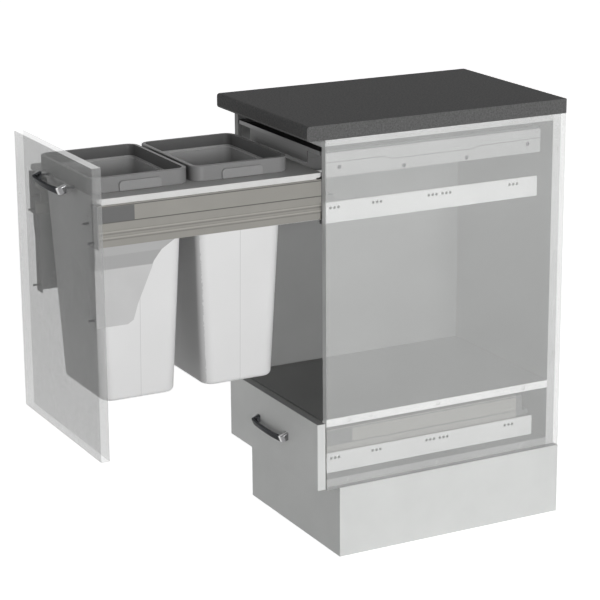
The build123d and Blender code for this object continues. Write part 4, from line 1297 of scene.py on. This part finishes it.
@dataclass
class DrawerBox:
    """A drawer's front, handle, metal sides, fittings and, in the low one, its boards."""

    finishes: Finishes
    prefix: str
    front: Material
    boards: tuple[str, ...] = ()
    rim_down: float = 0.5
    rim_forwards: float = 0.25
    left_screws: float = -0.1

    def is_rim(self, face: Face) -> bool:
        """Tell whether a face of the handle looks down and forwards."""
        return face.normal.z < -self.rim_down and face.normal.y < -self.rim_forwards

    def build(self) -> None:
        """Dress the drawer."""
        looks, prefix = self.finishes, self.prefix
        on_left = (looks.end_plate, lambda face: face.center.x < self.left_screws)
        # The front's up-facing edge takes painted shade.
        dress(f"{prefix}_front", self.front, (looks.shaded_top_edge, Way.UP.fits))
        # The handle's lower rim takes a painted highlight.
        dress(f"{prefix}_handle", looks.handle, (looks.handle_rim_highlight, self.is_rim))
        dress_pair(f"{prefix}_side", looks.side_of[prefix])
        dress(f"{prefix}_end_plates", looks.end_plate)
        dress(f"{prefix}_rear_brackets", looks.bracket)
        dress(f"{prefix}_label_plates", looks.label)
        dress(f"{prefix}_front_screws", looks.dark_screw, on_left)
        for board in self.boards:
            dress(f"{prefix}_{board}", looks.board)


@dataclass
class WasteSet:
    """The carrier frame, the stays, the buckets and their collars."""

    finishes: Finishes
    skirt_half: float = 0.1318
    upright: float = 0.5
    frontwards: float = 0.7
    middles: dict[str, float] = field(default_factory=lambda: {"front": -0.92, "rear": -0.706})

    def inwards(self, place: str) -> Callable[[Face], bool]:
        """Give the test of upright faces that look towards the upright line through a bucket.

        Args:
            place: the bucket's place, front or rear.

        Returns:
            The test.
        """
        middle = Vector((0.0, self.middles[place], 0.0))

        def looks_in(face: Face) -> bool:
            """Tell whether a face is upright and looks in.

            Args:
                face: the face.

            Returns:
                Whether it is.
            """
            inward = middle - face.center
            inward.z = 0.0
            return abs(face.normal.z) < self.upright and face.normal.dot(inward) > 0.0

        return looks_in

    def faces_front(self, face: Face) -> bool:
        """Tell whether a face is on the rear bucket's outer front."""
        return face.normal.y < -self.frontwards and face.center.y < self.middles["rear"]

    def build(self) -> None:
        """Dress the set."""
        looks = self.finishes
        # The carrier's up-facing faces take painted shade.
        dress("carrier_frame", looks.carrier, (looks.carrier_top_shade, Way.UP.fits))
        dress("bin_stay_right", looks.stay)
        # The left-hand stay takes painted shade.
        dress("bin_stay_left", looks.shaded_stay)
        outside = (looks.collar_lug, lambda face: abs(face.center.x) > self.skirt_half)
        for place in self.middles:
            # Inward faces of buckets and collars take painted shade.
            inwards = self.inwards(place)
            # The rear bucket's front takes painted shadow.
            shaded = [(looks.bucket_shaded, self.faces_front)] if place == "rear" else []
            dress(f"bucket_{place}", looks.bucket_of[place], (looks.bucket_inside_shade, inwards), *shaded)
            dress(f"collar_{place}", looks.collar, outside, (looks.collar_inside_shade, inwards))


@dataclass
class LidSet:
    """The lid, its strip, its brackets and screws."""

    finishes: Finishes
    side_lean: float = 0.3

    def is_side(self, face: Face) -> bool:
        """Tell whether a face of the lid is on its sides or its floor."""
        return abs(face.normal.x) > self.side_lean or Way.UP.fits(face)

    def build(self) -> None:
        """Dress the set."""
        looks = self.finishes
        # The lid's sides and floor and the strip's ends take painted shade; the lid's front takes a lighter
        # coat as painted highlight.
        dress("lid", looks.lid, (looks.lid_hem_lit, Way.FRONT.fits), (looks.lid_side_shade, self.is_side))
        dress("lid_seal", looks.seal, (looks.lid_side_shade, is_end))
        dress_pair("ledge_bracket", looks.ledge)
        dress("ledge_screws", looks.screw)


# ---- studio


@dataclass
class Studio:
    """Floor, soft light and the camera at the photograph's angle."""

    azimuth: float = 60.96
    elevation: float = 15.78
    target: Point = (-0.01585, -0.37213, 0.49438)
    distance: float = 4.61045
    focal_pixels: float = 2198.96
    centre_pixel: tuple[float, float] = (356.3, 288.52)
    image_pixels: float = 600.0
    sensor_width: float = 36.0
    ambient: float = 0.11
    lamps: tuple[tuple[str, float, float, float, float, bool], ...] = (
        ("key", 3.2, 90.0, 3.0, 30.0, True),
        ("fill", 0.6, -15.0, 6.0, 30.0, True),
        ("back", 1.1, 225.0, 10.0, 40.0, False),
    )
    floor_half: float = 12.0
    floor_tone: float = 0.8
    floor_glow: float = 0.84

    def build(self) -> None:
        """Make the world, the lamp, the floor and the camera."""
        self.world()
        for lamp in self.lamps:
            self.lamp(*lamp)
        self.floor()
        self.camera()
        bpy.context.scene.view_settings.view_transform = "Standard"

    @staticmethod
    def direction(azimuth: float, elevation: float) -> Vector:
        """Point from the object towards a place seen at an azimuth and elevation, in degrees."""
        turn, lift = math.radians(azimuth), math.radians(elevation)
        return Vector((math.sin(turn) * math.cos(lift), -math.cos(turn) * math.cos(lift), math.sin(lift)))

    @staticmethod
    def seen(tree: bpy.types.NodeTree) -> Socket:
        """Give 1 on camera, glossy and transmitted rays, and 0 on the rays that only carry light.

        Args:
            tree: the node tree that asks.

        Returns:
            The value.
        """
        path = tree.nodes.new("ShaderNodeLightPath")
        result = path.outputs["Is Camera Ray"]
        for name in ("Is Glossy Ray", "Is Transmission Ray"):
            largest = tree.nodes.new("ShaderNodeMath")
            largest.operation = "MAXIMUM"
            tree.links.new(result, largest.inputs[0])
            tree.links.new(path.outputs[name], largest.inputs[1])
            result = largest.outputs[0]
        return result

    def world(self) -> None:
        """Light evenly from all round, and look white."""
        world = bpy.data.worlds.new("studio")
        bpy.context.scene.world = world
        world.use_nodes = True
        tree = world.node_tree
        tree.nodes.clear()
        light = tree.nodes.new("ShaderNodeBackground")
        light.inputs["Strength"].default_value = self.ambient
        white = tree.nodes.new("ShaderNodeBackground")
        for shader in (light, white):
            shader.inputs["Color"].default_value = WHITE
        mix = tree.nodes.new("ShaderNodeMixShader")
        output = tree.nodes.new("ShaderNodeOutputWorld")
        tree.links.new(self.seen(tree), mix.inputs["Fac"])
        tree.links.new(light.outputs[0], mix.inputs[1])
        tree.links.new(white.outputs[0], mix.inputs[2])
        tree.links.new(mix.outputs[0], output.inputs["Surface"])

    def lamp(
        self, name: str, strength: float, azimuth: float, elevation: float, angle: float, mirrored: bool
    ) -> None:
        """Add one large soft far lamp.

        Args:
            name: the lamp's name.
            strength: its irradiance.
            azimuth: where it stands round the cabinet, in degrees.
            elevation: how high it stands, in degrees.
            angle: how wide it looks, in degrees.
            mirrored: whether glossy faces show it.
        """
        data = bpy.data.lights.new(name, "SUN")
        data.energy = strength
        data.angle = math.radians(angle)
        lamp = linked(name, data)
        lamp.rotation_euler = self.direction(azimuth, elevation).to_track_quat("Z", "Y").to_euler()
        lamp.visible_glossy = mirrored

    def floor(self) -> None:
        """Lay a pale floor that keeps a soft shadow."""
        mesh = bpy.data.meshes.new("floor")
        half = self.floor_half
        corners = [(-half, -half, 0.0), (half, -half, 0.0), (half, half, 0.0), (-half, half, 0.0)]
        mesh.from_pydata(corners, [], [(0, 1, 2, 3)])
        floor = linked("floor", mesh)
        sketch = Sketch("pale_floor")
        sketch.colour(sketch.varied(sketch.noise(scale=3.0, detail=2.0), grey(self.floor_tone), share=0.0))
        sketch.fixed(Roughness=0.9, Specular_IOR_Level=0.0, Emission_Color=WHITE)
        glow = sketch.span(self.seen(sketch.tree), 0.0, 1.0, 0.0, self.floor_glow)
        sketch.join(glow, sketch.shader.inputs["Emission Strength"])
        mesh.materials.append(sketch.material)

    def camera(self) -> None:
        """Set the camera where the photograph was taken from."""
        data = bpy.data.cameras.new("camera")
        data.sensor_width = self.sensor_width
        data.lens = self.focal_pixels * self.sensor_width / self.image_pixels
        middle = self.image_pixels / 2
        data.shift_x = -(self.centre_pixel[0] - middle) / self.image_pixels
        data.shift_y = (self.centre_pixel[1] - middle) / self.image_pixels
        camera = linked("camera", data)
        back = self.direction(self.azimuth, self.elevation)
        camera.location = Vector(self.target) + back * self.distance
        camera.rotation_euler = back.to_track_quat("Z", "Y").to_euler()
        bpy.context.scene.camera = camera


def main() -> None:
    """Build every sub-assembly in order."""
    logging.basicConfig(level=logging.INFO, format="%(name)s: %(message)s")
    finishes = Finishes()
    waste = WasteSet(finishes)
    assemblies = [
        Studio(),
        Carcass(finishes),
        Dowels(finishes),
        Runners(finishes),
        TurnedScrews(
            finishes, "runner_screws_turned", "runner_screws", "screw_steel", seat=0.1828,
            places=[(y, z) for z in RUNNER_LEVELS for y in RUNNER_SCREWED],
        ),
        RailHoleShades(finishes),
        LedgeCrease(finishes),
        DrawerBox(finishes, "bin", finishes.clear_front),
        ClearBoard(
            "bin_front_clear", "bin_front", "bin_drawer", "clear_panel",
            (-0.199, -1.0445, 0.295), (0.199, -1.0265, 0.8665), 1,
            face=finishes.clear_front, edge=finishes.front_edge,
            top=finishes.front_top_glow, rear=finishes.front_edge,
        ),
        DrawerBox(finishes, "low", finishes.board, ("base", "back")),
        waste,
        CollarLugs(finishes, waste.middles),
        LidSet(finishes),
        TurnedScrews(
            finishes, "ledge_screws_turned", "ledge_screws", "screw_steel", seat=0.182,
            places=LEDGE_SCREWED, dark=True, mark=0.0044,
        ),
    ]
    for assembly in assemblies:
        assembly.build()
        log.info("built %s", type(assembly).__name__)


if __name__ == "__main__":
    main()
